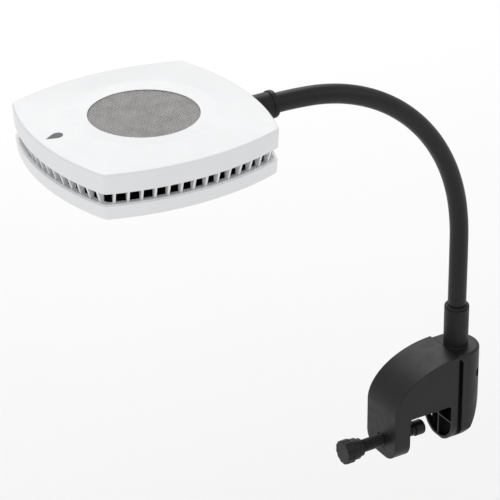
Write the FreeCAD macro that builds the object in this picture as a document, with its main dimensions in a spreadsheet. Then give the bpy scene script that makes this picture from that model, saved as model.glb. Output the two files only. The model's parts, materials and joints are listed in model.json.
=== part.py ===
"""A clamp-on gooseneck aquarium light with a fan-cooled LED head, as a parametric document.

Row frame, in millimetres. The origin is the middle of the face that rests on the tank's rim, and +Z is up.
The head hangs over the water at -X, the gooseneck stands on the clamp at +X, and the clamp's screw
lies along X.
Every sub-part is an object with its own Label, written to parts/LABEL.step.
"""

import FreeCAD, Part
import math
import os
import re

import Sketcher

V = FreeCAD.Vector
X_AXIS, Y_AXIS, Z_AXIS = V(1, 0, 0), V(0, 1, 0), V(0, 0, 1)

# Driving sizes: alias, value, meaning. A value that starts with = is worked out from the others.
SIZES = (
    # the gooseneck's path
    ("arm_radius", "115", "radius of the gooseneck's quarter turn"),
    ("lower_run", "48.5", "straight neck above the post's collar"),
    ("upper_run", "13", "straight neck before the head's collar"),
    ("arm_drop", "13", "neck axis below the head's top edge"),
    ("link_count", "10", "moving neck links"),
    ("end_run", "12", "first and last bending point from the collars"),
    # the head's shell
    ("head_half", "62", "half width at the middle of a side"),
    ("side_radius", "142", "radius of the bowed sides"),
    ("draft_slope", "0.046", "inward lean of the walls, per millimetre of depth"),
    ("wall", "2.2", "shell wall"),
    ("ceiling", "1.5", "inside of the top, below the top edge"),
    ("crown", "1.9", "rise of the top from its edge to the dish"),
    ("dish_radius", "39.5", "outer radius of the shallow dish"),
    ("dish_depth", "0.6", "fall of the dish towards the intake"),
    ("intake_radius", "30", "radius of the air intake"),
    ("intake_lip", "0.7", "thickness of the lip over the mesh"),
    ("mesh_thick", "0.6", "mesh thickness"),
    ("mesh_margin", "3", "mesh that lies under the lip"),
    ("retainer_width", "4.5", "width of the mesh retainer"),
    ("vent_gap", "6.5", "height of the open band between the covers"),
    ("slip", "0.15", "gap between pieces that slide together at assembly"),
    # vanes
    ("vane_count", "14", "vanes on a side"),
    ("vane_pitch", "2.95", "angle between vanes about the side's centre, in degrees"),
    ("vane_thick", "1.4", "vane thickness"),
    ("vane_top_inset", "1.1", "vane's outer edge behind the head's width, at its top"),
    ("vane_foot_inset", "3.3", "vane's outer edge behind the head's width, at its foot"),
    ("vane_back_inset", "5.6", "vane's inner edge behind the head's width"),
    ("rail_height", "1.2", "height of the rails that join the vanes"),
    ("rail_lip", "0.5", "how far the rails reach inwards past the vanes"),
    # fan
    ("fan_side", "60", "side of the fan frame"),
    ("fan_depth", "10", "depth of the fan"),
    ("fan_bore", "28.5", "radius of the fan's air passage"),
    ("fan_pitch", "50", "distance between fan screws"),
    ("hub_radius", "13", "radius of the rotor's hub"),
    ("tip_gap", "0.9", "gap between blade tips and the frame"),
    ("blade_thick", "1.1", "blade thickness"),
    ("blade_chord", "9", "blade width"),
    ("blade_count", "7", "blades on the rotor"),
    ("strut_width", "3", "width of the struts that carry the motor"),
    ("spider", "1.6", "thickness of the motor's base and struts"),
    ("axle_radius", "1", "fan axle"),
    ("axle_gap", "0.03", "running gap between the axle and its bearing"),
    ("axle_inset", "0.6", "how far the axle's ends stay inside the fan"),
    ("bearing_radius", "2.5", "fan bearing"),
    # heat sink, light engine and window
    ("sink_inset", "6.5", "heat sink's edge behind the head's width"),
    ("sink_base", "3.5", "thickness of the heat sink's plate"),
    ("fin_thick", "1.8", "fin thickness"),
    ("fin_count", "30", "fins"),
    ("fin_start", "17", "inner end of the fins"),
    ("fin_end", "52", "outer end of the fins"),
    ("fin_gap", "0.5", "gap between the fins and the fan"),
    ("board", "1.6", "circuit board thickness"),
    ("guide", "1", "thickness of the air guide"),
    ("driver_length", "50", "driver board's length"),
    ("driver_width", "20", "driver board's width"),
    ("driver_y", "43", "driver board from the head's middle"),
    ("inlet_radius", "4", "power inlet's barrel"),
    ("inlet_bore", "2.8", "hole in the power inlet"),
    ("inlet_length", "11", "length of the power inlet"),
    ("inlet_y", "26", "power inlet beside the arm"),
    ("inlet_level", "-6", "power inlet below the head's top edge"),
    ("board_radius", "31", "radius of the LED board"),
    ("led_side", "3.5", "side of an LED package"),
    ("led_height", "0.9", "height of an LED package"),
    ("led_gap", "0.3", "gap between the LEDs and the window"),
    ("window", "1.2", "window thickness"),
    ("window_lip", "0.8", "lip that holds the window"),
    ("window_opening", "34", "radius of the opening below the window"),
    ("window_radius", "37", "radius of the window"),
    # screws of the head
    ("boss_place", "41", "case screws from the head's middle, along X and Y"),
    ("boss_radius", "4", "screw boss"),
    ("screw_radius", "1.45", "case and fan screws"),
    ("screw_head_radius", "2.8", "head of the case and fan screws"),
    ("screw_head", "2", "height of those heads"),
    ("screw_bite", "10", "length of a case screw in its boss"),
    # collar on the head
    ("collar_radius", "7.3", "head collar"),
    ("collar_reach", "18", "collar outside the head's side"),
    ("collar_ring", "0.6", "rise of the ring at the collar's end"),
    ("ring_width", "3", "width of that ring"),
    ("socket_length", "11", "length of the arm socket behind the collar"),
    ("socket_height", "11", "height of the arm socket"),
    ("socket_half", "8", "half width of the arm socket"),
    # gooseneck
    ("neck_radius", "5.6", "outside of the neck's sleeve"),
    ("sleeve_bore", "4.4", "inside of the sleeve"),
    ("core_radius", "4.1", "neck core"),
    ("ball_radius", "3", "ball of a neck link"),
    ("ball_gap", "0.3", "gap between a ball and its socket"),
    ("stalk_radius", "1.5", "stalk behind a ball"),
    ("shoulder", "4.2", "core's shoulder from the ball's centre"),
    ("mouth", "1.6", "socket's mouth beyond the ball's centre"),
    ("sleeve_gap", "2", "end of a sleeve section from the bending point"),
    ("core_hold", "22", "length of core held in the post"),
    ("sleeve_grip", "10", "length of sleeve held in a collar"),
    # clamp
    ("notch_width", "31", "width of the slot that takes the panel"),
    ("clamp_width", "31", "width of the clamp"),
    ("leg", "10.8", "thickness of the front leg"),
    ("roof", "32.8", "top of the clamp above the rim"),
    ("leg_drop", "28.3", "front leg below the rim"),
    ("jaw_drop", "29.5", "fixed jaw below the rim"),
    ("foot_radius", "11", "rounding of the front leg's lower corners"),
    ("jaw_flat", "0.4", "half of the flat between the fixed jaw's lower corners"),
    ("bow_foot", "3", "height at which the front's curve starts"),
    ("seam", "19", "parting plane between the frame and the barrel"),
    ("seam_gap", "0.25", "open line at that parting"),
    ("groove", "4", "width of the groove beside the barrel"),
    ("groove_half", "11.5", "half width of the barrel's web in that groove"),
    ("groove_cover", "2.5", "thickness of the barrel's top over that groove"),
    ("bow_end", "20", "middle of the curve of the clamp's front and top"),
    ("barrel_x", "27", "axis of the post"),
    ("barrel_radius", "14.5", "barrel that holds the post"),
    ("tail_level", "24", "height at which the barrel starts to taper"),
    ("rim", "1.8", "rim around the hollow jaw"),
    ("jaw_top", "2.5", "top of the hollow below the rim's seat"),
    ("jaw_hollow", "11", "depth of the hollow into the barrel"),
    ("rib", "1.2", "ribs across the hollow jaw"),
    ("rib_drop", "13.4", "level rib below the rim"),
    # post and its lock
    ("post_radius", "7.55", "post's collar"),
    ("post_collar", "26.9", "height of the post's collar"),
    ("washer", "0.8", "washer below the collar"),
    ("spigot_radius", "6", "post inside the barrel"),
    ("running_gap", "0.05", "radial gap of turning and sliding fits"),
    ("bore_foot", "7", "lower end of the post's bore"),
    ("spigot_foot", "3.5", "lower end of the post"),
    ("clip_radius", "7.8", "retaining ring"),
    ("clip", "1.2", "thickness of the retaining ring"),
    ("clip_room", "9", "radius of the room below the bore"),
    ("line_depth", "0.4", "groove below the rounded top of the post's collar"),
    ("lock_height", "15.5", "height of the lock screw"),
    ("lock_angle", "-50", "direction of the lock screw from +X, in degrees"),
    ("lock_radius", "3", "lock screw"),
    ("lock_length", "5", "length of the lock screw"),
    ("pin_y", "9.6", "joining pins from the middle plane"),
    ("pin_low", "9", "height of the lower joining pins"),
    ("pin_high", "25", "height of the upper joining pins"),
    ("pin_radius", "1.5", "joining pins"),
    ("pin_half", "8", "length of a joining pin on each side of the seam"),
    # clamp screw
    ("drop", "18.5", "clamp screw below the rim's seat"),
    ("thread_radius", "4", "clamp screw"),
    ("insert_radius", "6.5", "threaded insert"),
    ("tip_face", "4", "face of the pressure tip, from the slot's middle"),
    ("tip_length", "7", "length of the pressure tip"),
    ("tip_radius", "4.7", "radius of the pressure tip"),
    ("tip_floor", "2", "tip's thickness in front of the screw"),
    ("nose_radius", "2.6", "end of the screw inside the tip"),
    ("knob_back", "41", "knob's back, from the slot's middle"),
    ("knob_length", "13", "length of the knob"),
    ("knob_disc", "5.5", "thickness of the knob's disc"),
    ("knob_radius", "7.5", "radius of the knob's disc"),
    ("knob_step", "6.6", "radius of the knob's back"),
    ("flute_radius", "1", "flutes around the disc"),
    ("flute_count", "12", "number of flutes"),
    # worked out
    ("upper_wall", "=ceiling + fan_depth - 0.2", "depth of the top cover"),
    ("collar_seat", "=vane_back_inset + rail_lip + 0.3", "collar inside the head's side"),
    ("vent_top", "=-upper_wall", "upper edge of the open band"),
    ("vent_foot", "=vent_top - vent_gap", "lower edge of the open band"),
    ("fan_foot", "=-ceiling - fan_depth", "underside of the fan"),
    ("sink_top", "=vent_foot - 0.2", "top of the heat sink's plate"),
    ("sink_foot", "=sink_top - sink_base", "underside of the heat sink"),
    ("board_foot", "=sink_foot - board", "underside of the LED board"),
    ("floor_top", "=board_foot - led_height - led_gap", "top of the lower cover's floor"),
    ("head_foot", "=floor_top - window - window_lip", "underside of the head"),
    ("vent_half", "=head_half - draft_slope * upper_wall", "half width at the open band's top"),
    ("lower_half", "=head_half + draft_slope * vent_foot", "half width at the open band's foot"),
    ("foot_half", "=head_half + draft_slope * head_foot", "half width at the underside"),
    ("mesh_top", "=crown - dish_depth - intake_lip", "underside of the lip"),
    ("head_x", "=barrel_x - arm_radius - upper_run - head_half - collar_reach", "head's centre"),
    ("post_top", "=roof + washer + post_collar", "top of the post's collar"),
    ("head_z", "=post_top + lower_run + arm_radius + arm_drop", "plane of the head's top edge"),
    ("path_length", "=lower_run + pi / 2 * arm_radius + upper_run", "length of the bending neck"),
    ("link_pitch", "=(path_length - 2 * end_run) / link_count", "distance between bending points"),
    ("slot_half", "=notch_width / 2", "half width of the slot"),
    ("front", "=-slot_half - leg", "front of the clamp"),
    ("side", "=clamp_width / 2", "half width of the clamp"),
    ("jaw_round", "=side - jaw_flat", "rounding of the fixed jaw's lower corners"),
)
ALIASES = {alias for alias, _, _ in SIZES}
HEAD, CLAMP = "head", "clamp"

doc = FreeCAD.newDocument("AquariumLight")
sheet = doc.addObject("Spreadsheet::Sheet", "Sizes")
nodes = []


def fill_sheet():
    """Writes each size to the sheet, with its meaning beside it."""
    for row, (alias, value, meaning) in enumerate(SIZES, start=1):
        sheet.set(f"A{row}", value)
        sheet.setAlias(f"A{row}", alias)
        sheet.set(f"B{row}", meaning)
    doc.recompute()


def size(alias):
    """A size from the sheet, as a number."""
    return float(sheet.get(alias))


def expression(words):
    """A sheet expression: every alias in the words gets the sheet's name."""
    return re.sub(r"[a-z_]+", lambda word: "Sizes." + word[0] if word[0] in ALIASES else word[0], str(words))


def bind(thing, **properties):
    """Binds properties to expressions; x, y and z stand for the object's place."""
    for name, words in properties.items():
        if name in ("x", "y", "z"):
            name = "Placement.Base." + name
        thing.setExpression(name, expression(words))
    return thing


def place(thing, at):
    """Binds an object's place to three expressions."""
    return bind(thing, x=at[0], y=at[1], z=at[2])


TURNS = {
    "Z": FreeCAD.Rotation(),
    "X": FreeCAD.Rotation(Y_AXIS, 90),
    "Y": FreeCAD.Rotation(X_AXIS, -90),
}


# ---------------------------------------------------------------- primitives and booleans


def box(name, length, width, height, at=(0, 0, 0)):
    """A box centred on at in X and Y, standing on at in Z."""
    made = bind(doc.addObject("Part::Box", name), Length=length, Width=width, Height=height)
    return place(made, (f"{at[0]} - ({length}) / 2", f"{at[1]} - ({width}) / 2", at[2]))


def cylinder(name, radius, height, at=(0, 0, 0), axis="Z"):
    """A cylinder that starts at a point and runs along an axis."""
    made = bind(doc.addObject("Part::Cylinder", name), Radius=radius, Height=height)
    made.Placement.Rotation = TURNS[axis]
    return place(made, at)


def cone(name, start_radius, end_radius, height, at=(0, 0, 0), axis="Z"):
    """A cone that starts at a point and runs along an axis."""
    made = bind(doc.addObject("Part::Cone", name), Radius1=start_radius, Radius2=end_radius, Height=height)
    made.Placement.Rotation = TURNS[axis]
    return place(made, at)


def sphere(name, radius, at=(0, 0, 0)):
    """A sphere round a point."""
    return place(bind(doc.addObject("Part::Sphere", name), Radius=radius), at)


def fuse(name, *things):
    """One solid from several."""
    made = doc.addObject("Part::MultiFuse", name)
    made.Shapes = list(things)
    return made


def common(name, *things):
    """What several solids share."""
    made = doc.addObject("Part::MultiCommon", name)
    made.Shapes = list(things)
    return made


def cut(name, base, *tools):
    """A solid less one or more others."""
    made = doc.addObject("Part::Cut", name)
    made.Base = base
    made.Tool = tools[0] if len(tools) == 1 else fuse(name + "_tools", *tools)
    return made


def group(name, things):
    """Several identical solids in one node."""
    made = doc.addObject("Part::Compound", name)
    made.Links = list(things)
    return made


def tube(name, outer, inner, height, at=(0, 0, 0), axis="Z"):
    """A straight tube."""
    return cut(
        name,
        cylinder(name + "_outside", outer, height, at, axis),
        cylinder(name + "_inside", inner, height, at, axis),
    )


def node(thing, label, where=CLAMP):
    """Names a finished sub-part. A head piece is made round the head's centre and moved there here."""
    if where == HEAD:
        if thing.TypeId == "Part::Cylinder":
            thing = group(label + "_whole", [thing])
        place(thing, ("head_x", 0, "head_z"))
    thing.Label = label
    nodes.append(thing)
    return thing


# ---------------------------------------------------------------- bodies and sketches


def body(name):
    """A new PartDesign body."""
    return doc.addObject("PartDesign::Body", name)


def origin(owner, role):
    """A plane or axis of a body's own origin."""
    return next(f for f in owner.Origin.OriginFeatures if f.Role == role)


def sketch(owner, name, plane="XY_Plane", level="0"):
    """An empty sketch on a plane of the body, moved along the plane's normal."""
    made = owner.newObject("Sketcher::SketchObject", name)
    made.AttachmentSupport = [(origin(owner, plane), "")]
    made.MapMode = "FlatFace"
    made.setExpression("AttachmentOffset.Base.z", expression(level))
    return made


def hold(made, constraint, name, words):
    """Adds a named dimension to a sketch and binds it."""
    index = made.addConstraint(constraint)
    made.renameConstraint(index, name)
    made.setExpression("Constraints." + name, expression(words))


def bowed_square(owner, name, half, level):
    """The head's plan outline, four arcs that bow outwards. Offset outlines keep the same four centres."""
    made = sketch(owner, name, level=level)
    doc.recompute()
    offset = size("side_radius") - size("head_half")
    radius = offset + measure(half)
    corner = (math.sqrt(2 * radius**2 - offset**2) - offset) / 2
    centres = (V(0, offset), V(-offset, 0), V(0, -offset), V(offset, 0))
    corners = (V(-corner, -corner), V(corner, -corner), V(corner, corner), V(-corner, corner))
    for i, centre in enumerate(centres):
        first, second = corners[i] - centre, corners[(i + 1) % 4] - centre
        start, end = math.atan2(first.y, first.x), math.atan2(second.y, second.x)
        made.addGeometry(Part.ArcOfCircle(Part.Circle(centre, Z_AXIS, radius), start, end))
    for i in range(4):
        made.addConstraint(Sketcher.Constraint("Coincident", i, 2, (i + 1) % 4, 1))
        made.addConstraint(Sketcher.Constraint("PointOnObject", i, 3, -2 if i % 2 == 0 else -1))
    for i in range(1, 4):
        made.addConstraint(Sketcher.Constraint("Equal", 0, i))
    gap = "side_radius - head_half"
    hold(made, Sketcher.Constraint("Radius", 0, radius), "bow", f"{gap} + {half}")
    hold(made, Sketcher.Constraint("DistanceY", -1, 1, 0, 3, offset), "south", gap)
    hold(made, Sketcher.Constraint("DistanceX", 1, 3, -1, 1, offset), "east", gap)
    hold(made, Sketcher.Constraint("DistanceY", 2, 3, -1, 1, offset), "north", gap)
    hold(made, Sketcher.Constraint("DistanceX", -1, 1, 3, 3, offset), "west", gap)
    return made


def measure(words):
    """The value of an expression of sizes."""
    return float(sheet.evalExpression(expression(words)))


def circle(owner, name, radius, level="0", plane="XY_Plane", at=(0, 0)):
    """A sketch of one circle."""
    made = sketch(owner, name, plane, level)
    made.addGeometry(Part.Circle(V(measure(at[0]), measure(at[1])), Z_AXIS, measure(radius)))
    hold(made, Sketcher.Constraint("Radius", 0, measure(radius)), "radius", radius)
    if at == (0, 0):
        made.addConstraint(Sketcher.Constraint("Coincident", 0, 3, -1, 1))
    else:
        hold(made, Sketcher.Constraint("DistanceX", -1, 1, 0, 3, measure(at[0])), "along", at[0])
        hold(made, Sketcher.Constraint("DistanceY", -1, 1, 0, 3, measure(at[1])), "across", at[1])
    return made


def polygon(owner, name, corners, plane="XZ_Plane", level="0"):
    """A closed sketch through corners given as pairs of expressions, each corner held to them."""
    made = sketch(owner, name, plane, level)
    points = [V(measure(a), measure(b)) for a, b in corners]
    for i, point in enumerate(points):
        made.addGeometry(Part.LineSegment(point, points[(i + 1) % len(points)]))
    for i in range(len(points)):
        made.addConstraint(Sketcher.Constraint("Coincident", i, 2, (i + 1) % len(points), 1))
    for i, (a, b) in enumerate(corners):
        for kind, letter, words, value in (
            ("DistanceX", "a", a, points[i].x),
            ("DistanceY", "b", b, points[i].y),
        ):
            if abs(value) < 1e-9:
                axis = -2 if kind == "DistanceX" else -1
                made.addConstraint(Sketcher.Constraint("PointOnObject", i, 1, axis))
            else:
                ends = (-1, 1, i, 1) if value > 0 else (i, 1, -1, 1)
                signed = words if value > 0 else f"-({words})"
                hold(made, Sketcher.Constraint(kind, *ends, abs(value)), f"{letter}{i}", signed)
    return made


def pad(owner, name, profile, length, both_ways=False, down=False):
    """Extrudes a sketch."""
    made = owner.newObject("PartDesign::Pad", name)
    made.Profile = profile
    made.Midplane = both_ways
    made.Reversed = down
    return bind(made, Length=length)


def pocket(owner, name, profile, length, up=False):
    """Cuts with a sketch, downwards unless told otherwise."""
    made = owner.newObject("PartDesign::Pocket", name)
    made.Profile = profile
    made.Reversed = up
    return bind(made, Length=length)


def turned(owner, name, profile, kind="PartDesign::Revolution"):
    """Turns a sketch a full turn about its own vertical axis."""
    made = owner.newObject(kind, name)
    made.Profile = profile
    made.ReferenceAxis = (profile, ["V_Axis"])
    made.Angle = 360
    return made


def loft(owner, name, *profiles):
    """Joins sketches with straight-sided walls."""
    made = owner.newObject("PartDesign::AdditiveLoft", name)
    made.Profile = profiles[0]
    made.Sections = list(profiles[1:])
    made.Ruled = True
    return made


def at_corners(spread):
    """The four places of a square pattern, as expressions."""
    return [(f"{sx} * {spread}", f"{sy} * {spread}") for sx in (-1, 1) for sy in (-1, 1)]


# ---------------------------------------------------------------- the head


def arm_passage(name, clearance):
    """The round way in for the collar, from the head's middle out past its +X side."""
    return cylinder(
        name, f"collar_radius + {clearance}", "head_half",
        ("head_half - collar_seat - 3", 0, "-arm_drop"), "X",
    )


def top_cover():
    """The domed upper shell with its dish, the intake and four screw bosses."""
    owner = body("TopShell")
    foot = bowed_square(owner, "TopFoot", "vent_half", "vent_top")
    edge = bowed_square(owner, "TopEdge", "head_half", "0")
    loft(owner, "TopWalls", foot, edge)
    crown_edge = bowed_square(owner, "CrownEdge", "head_half", "0")
    crown_ring = circle(owner, "CrownRing", "dish_radius", "crown")
    loft(owner, "Crown", crown_edge, crown_ring)
    dish = polygon(
        owner,
        "DishProfile",
        (
            ("0", "crown - dish_depth"),
            ("intake_radius", "crown - dish_depth"),
            ("dish_radius", "crown"),
            ("dish_radius", "crown + 1"),
            ("0", "crown + 1"),
        ),
    )
    turned(owner, "Dish", dish, "PartDesign::Groove")
    inside = bowed_square(owner, "TopInside", "head_half - wall", "vent_top")
    pocket(owner, "TopHollow", inside, "upper_wall - ceiling", up=True)
    pocket(owner, "Intake", circle(owner, "IntakeCircle", "intake_radius", "crown"), "crown + ceiling + 1")
    seat = circle(owner, "MeshSeatCircle", "intake_radius + mesh_margin", "-ceiling")
    pocket(owner, "MeshSeat", seat, "ceiling + mesh_top", up=True)
    bosses = [
        cylinder(f"boss_{i}", "boss_radius", "-sink_top - ceiling + 0.5", (x, y, "sink_top"))
        for i, (x, y) in enumerate(at_corners("boss_place"))
    ]
    pilots = [
        cylinder(f"boss_pilot_{i}", "screw_radius", "screw_bite", (x, y, "sink_top"))
        for i, (x, y) in enumerate(at_corners("boss_place"))
    ]
    fan_pilots = [
        cylinder(f"fan_pilot_{i}", "screw_radius", "2.5", (x, y, "-ceiling"))
        for i, (x, y) in enumerate(at_corners("fan_pitch / 2"))
    ]
    inlet = cylinder("inlet_way", "inlet_radius + slip", "head_half", inlet_place("inlet_length + 1"), "X")
    shell = fuse("top_shell_and_bosses", owner, *bosses)
    passage = arm_passage("top_passage", "slip")
    return node(cut("top_cover_cut", shell, *pilots, *fan_pilots, passage, inlet), "top_cover", HEAD)


def radial_box(name, start, length, thick, height, angle, level):
    """A box that runs outwards from the vertical axis at an angle in degrees."""
    made = bind(doc.addObject("Part::Box", name), Length=length, Width=thick, Height=height)
    made.Placement.Rotation = FreeCAD.Rotation(Z_AXIS, angle)
    along, across = f"({start})", f"({thick}) / 2"
    return bind(
        made,
        x=f"{along} * cos({angle}) + {across} * sin({angle})",
        y=f"{along} * sin({angle}) - {across} * cos({angle})",
        z=level,
    )


def vane(side, step):
    """One upright vane: side 0 to 3 counts from -Y anticlockwise, step along the side from its middle."""
    made = doc.addObject("Part::Wedge", f"vane_{side}_{step}")
    bind(made, Xmin="-vane_thick / 2", Xmax="vane_thick / 2")
    bind(made, X2min="-vane_thick / 2", X2max="vane_thick / 2")
    bind(made, Ymin="0", Ymax="vent_gap")
    back, foot, top = (f"side_radius - vane_{edge}_inset" for edge in ("back", "foot", "top"))
    bind(made, Zmin=back, Zmax=foot, Z2min=back, Z2max=top)
    angle = 90 * side + step * size("vane_pitch")
    upright = FreeCAD.Rotation(X_AXIS, 90)
    made.Placement.Rotation = FreeCAD.Rotation(Z_AXIS, angle).multiply(upright)
    offset = "(side_radius - head_half)"
    quarter = 90 * side
    return place(made, (f"-{offset} * sin({quarter})", f"{offset} * cos({quarter})", "vent_foot"))


def vent_ring():
    """Two rails joined by thin upright vanes, the air's way out on all four sides."""
    rails = body("Rails")
    upper = bowed_square(rails, "UpperRail", "head_half - wall - slip", "vent_top")
    pad(rails, "UpperRailPad", upper, "rail_height")
    lower = bowed_square(rails, "LowerRail", "lower_half - wall - slip", "vent_foot")
    pad(rails, "LowerRailPad", lower, "rail_height", down=True)
    span = bowed_square(rails, "Span", "lower_half - wall - slip", "vent_foot")
    pad(rails, "SpanPad", span, "vent_gap")
    inner = "head_half - vane_back_inset - rail_lip"
    opening = bowed_square(rails, "RailOpening", inner, "vent_top + rail_height")
    pocket(rails, "RailHollow", opening, "vent_gap + 2 * rail_height")
    ring = body("BandRoom")
    outer = bowed_square(ring, "BandOutside", "head_half + 5", "vent_foot")
    pad(ring, "BandPad", outer, "vent_gap")
    count = round(size("vane_count"))
    vanes = [vane(side, k - (count - 1) / 2) for side in range(4) for k in range(count)]
    bare_rails = cut("bare_rails", rails, ring)
    passage = arm_passage("vent_passage", "slip")
    whole = fuse("rails_and_vanes", bare_rails, *vanes)
    return node(cut("vent_ring_cut", whole, passage), "vent_ring", HEAD)


def lower_cover():
    """The lower shell, with a stepped round opening for the window and four screw posts."""
    owner = body("LowerShell")
    foot = bowed_square(owner, "LowerFoot", "foot_half", "head_foot")
    edge = bowed_square(owner, "LowerEdge", "lower_half", "vent_foot")
    loft(owner, "LowerWalls", foot, edge)
    inside = bowed_square(owner, "LowerInside", "lower_half - wall", "vent_foot")
    pocket(owner, "LowerHollow", inside, "vent_foot - floor_top")
    opening = circle(owner, "OpeningCircle", "window_opening", "floor_top")
    pocket(owner, "Opening", opening, "floor_top - head_foot")
    seat = circle(owner, "WindowSeatCircle", "window_radius + slip", "floor_top")
    pocket(owner, "WindowSeat", seat, "window")
    places = at_corners("boss_place")
    posts = [
        cylinder(f"post_{i}", "boss_radius", "sink_foot - floor_top + 0.5", (x, y, "floor_top - 0.5"))
        for i, (x, y) in enumerate(places)
    ]
    trims = [
        cylinder(f"post_trim_{i}", "boss_radius + 1", "2", (x, y, "sink_foot"))
        for i, (x, y) in enumerate(places)
    ]
    holes = [
        cylinder(f"post_hole_{i}", "screw_radius", "10", (x, y, "head_foot"))
        for i, (x, y) in enumerate(places)
    ]
    recesses = [
        cylinder(f"post_recess_{i}", "screw_head_radius + slip", "screw_head + 0.6", (x, y, "head_foot"))
        for i, (x, y) in enumerate(places)
    ]
    passage = arm_passage("lower_passage", "slip")
    shell = fuse("lower_shell_and_posts", owner, *posts)
    return node(cut("lower_cover_cut", shell, *trims, *holes, *recesses, passage), "lower_cover", HEAD)


def case_screws():
    """Four screws up through the lower cover and the heat sink into the top cover's bosses."""
    made = []
    for i, (x, y) in enumerate(at_corners("boss_place")):
        head = cylinder(f"case_head_{i}", "screw_head_radius", "screw_head", (x, y, "head_foot + 0.6"))
        length = "sink_top + screw_bite - head_foot - screw_head - 0.6"
        shank = cylinder(f"case_shank_{i}", "screw_radius", length, (x, y, "head_foot + 0.6 + screw_head"))
        made.append(fuse(f"case_screw_{i}", head, shank))
    return node(group("case_screw_group", made), "case_screws", HEAD)


def intake():
    """The mesh over the fan and the ring that holds it up against the cover's lip."""
    reach = "intake_radius + mesh_margin - slip"
    mesh = cylinder("mesh_disc", reach, "mesh_thick", (0, 0, "mesh_top - mesh_thick"))
    node(mesh, "intake_mesh", HEAD)
    ring = tube(
        "retainer_tube",
        reach,
        "intake_radius + mesh_margin - retainer_width",
        "mesh_top - mesh_thick + ceiling",
        (0, 0, "-ceiling"),
    )
    node(ring, "mesh_retainer", HEAD)


def air_guide():
    """The plate that closes the band's top, so that the air leaves sideways through the fins."""
    plate = body("GuidePlate")
    half = "head_half - vane_back_inset - rail_lip - slip"
    outline = bowed_square(plate, "GuideOutline", half, "vent_top")
    pad(plate, "GuidePad", outline, "guide")
    side = "fan_side + 2 * slip"
    window = box("guide_window", side, side, "4 * guide", (0, 0, "vent_top - guide"))
    ways = [
        cylinder(f"guide_way_{i}", "boss_radius + slip", "4 * guide", (x, y, "vent_top - guide"))
        for i, (x, y) in enumerate(at_corners("boss_place"))
    ]
    passage = arm_passage("guide_passage", "slip")
    socket_way = box(
        "guide_socket_way",
        "socket_length + collar_seat + 8",
        "2 * socket_half + 1",
        "4 * guide",
        ("head_half - collar_seat - socket_length / 2", 0, "vent_top - guide"),
    )
    return node(cut("air_guide_cut", plate, window, passage, socket_way, *ways), "air_guide", HEAD)


def fan():
    """The square frame with its struts, the motor, the turning rotor on its axle, and four screws."""
    square = box("fan_block", "fan_side", "fan_side", "fan_depth", (0, 0, "fan_foot"))
    passage = cylinder("fan_passage", "fan_bore", "fan_depth", (0, 0, "fan_foot"))
    places = at_corners("fan_pitch / 2")
    holes = [
        cylinder(f"fan_hole_{i}", "screw_radius", "fan_depth", (x, y, "fan_foot"))
        for i, (x, y) in enumerate(places)
    ]
    recesses = [
        cylinder(f"fan_recess_{i}", "screw_head_radius + slip", "fan_depth / 2", (x, y, "fan_foot"))
        for i, (x, y) in enumerate(places)
    ]
    frame = cut("fan_ring", square, passage, *holes, *recesses)
    reach = "fan_bore - hub_radius + 2.5"
    struts = [
        radial_box(f"strut_{i}", "hub_radius - 2", reach, "strut_width", "spider", 45 + 90 * i, "fan_foot")
        for i in range(4)
    ]
    base = cylinder("motor_base", "hub_radius", "spider", (0, 0, "fan_foot"))
    seat = cylinder("bearing_seat", "bearing_radius", "spider", (0, 0, "fan_foot"))
    node(cut("fan_frame_cut", fuse("fan_frame_whole", frame, base, *struts), seat), "fan_frame", HEAD)
    bore = "axle_radius + axle_gap"
    bearing = tube("bearing_tube", "bearing_radius", bore, "fan_depth / 2", (0, 0, "fan_foot"))
    node(bearing, "fan_bearing", HEAD)
    height = "fan_depth / 2 - spider"
    stator = tube("stator_tube", "hub_radius - 3", "bearing_radius", height, (0, 0, "fan_foot + spider"))
    node(stator, "fan_motor", HEAD)
    rotor_foot = "fan_foot + spider + 0.6"
    rotor_height = "fan_depth - spider - 1.2"
    can = cylinder("hub_can", "hub_radius", rotor_height, (0, 0, rotor_foot))
    room = cylinder("hub_room", "hub_radius - 1.5", f"{rotor_height} - 1.5", (0, 0, rotor_foot))
    axle_way = cylinder("hub_axle_way", "axle_radius", "fan_depth", (0, 0, "fan_foot"))
    hub = cut("hub_shell", can, room, axle_way)
    blades = []
    count = round(size("blade_count"))
    for i in range(count):
        angle = 360 * i / count
        blade = bind(doc.addObject("Part::Box", f"blade_{i}"), Height="blade_thick", Width="blade_chord")
        bind(blade, Length="fan_bore - tip_gap - hub_radius + 1")
        tilt = FreeCAD.Rotation(Z_AXIS, angle).multiply(FreeCAD.Rotation(X_AXIS, -35))
        blade.Placement.Rotation = tilt
        place(
            blade,
            (
                f"(hub_radius - 1) * cos({angle}) + blade_chord * 0.4 * sin({angle})",
                f"(hub_radius - 1) * sin({angle}) - blade_chord * 0.4 * cos({angle})",
                "fan_foot + fan_depth - 2.4",
            ),
        )
        blades.append(blade)
    sweep = tube("blade_room", "fan_bore - tip_gap", "hub_radius - 0.5", rotor_height, (0, 0, rotor_foot))
    blade_set = common("blade_set", fuse("blade_fan", *blades), sweep)
    node(fuse("rotor_whole", hub, blade_set), "fan_rotor", HEAD)
    axle = cylinder("axle_rod", "axle_radius", "fan_depth - 2 * axle_inset", (0, 0, "fan_foot + axle_inset"))
    node(axle, "fan_axle", HEAD)
    screws = []
    for i, (x, y) in enumerate(places):
        head_level = "fan_foot + fan_depth / 2 - screw_head"
        head = cylinder(f"fan_head_{i}", "screw_head_radius", "screw_head", (x, y, head_level))
        middle = (x, y, "fan_foot + fan_depth / 2")
        shank = cylinder(f"fan_shank_{i}", "screw_radius", "fan_depth / 2 + 2.5", middle)
        screws.append(fuse(f"fan_screw_{i}", head, shank))
    node(group("fan_screw_group", screws), "fan_screws", HEAD)


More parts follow.
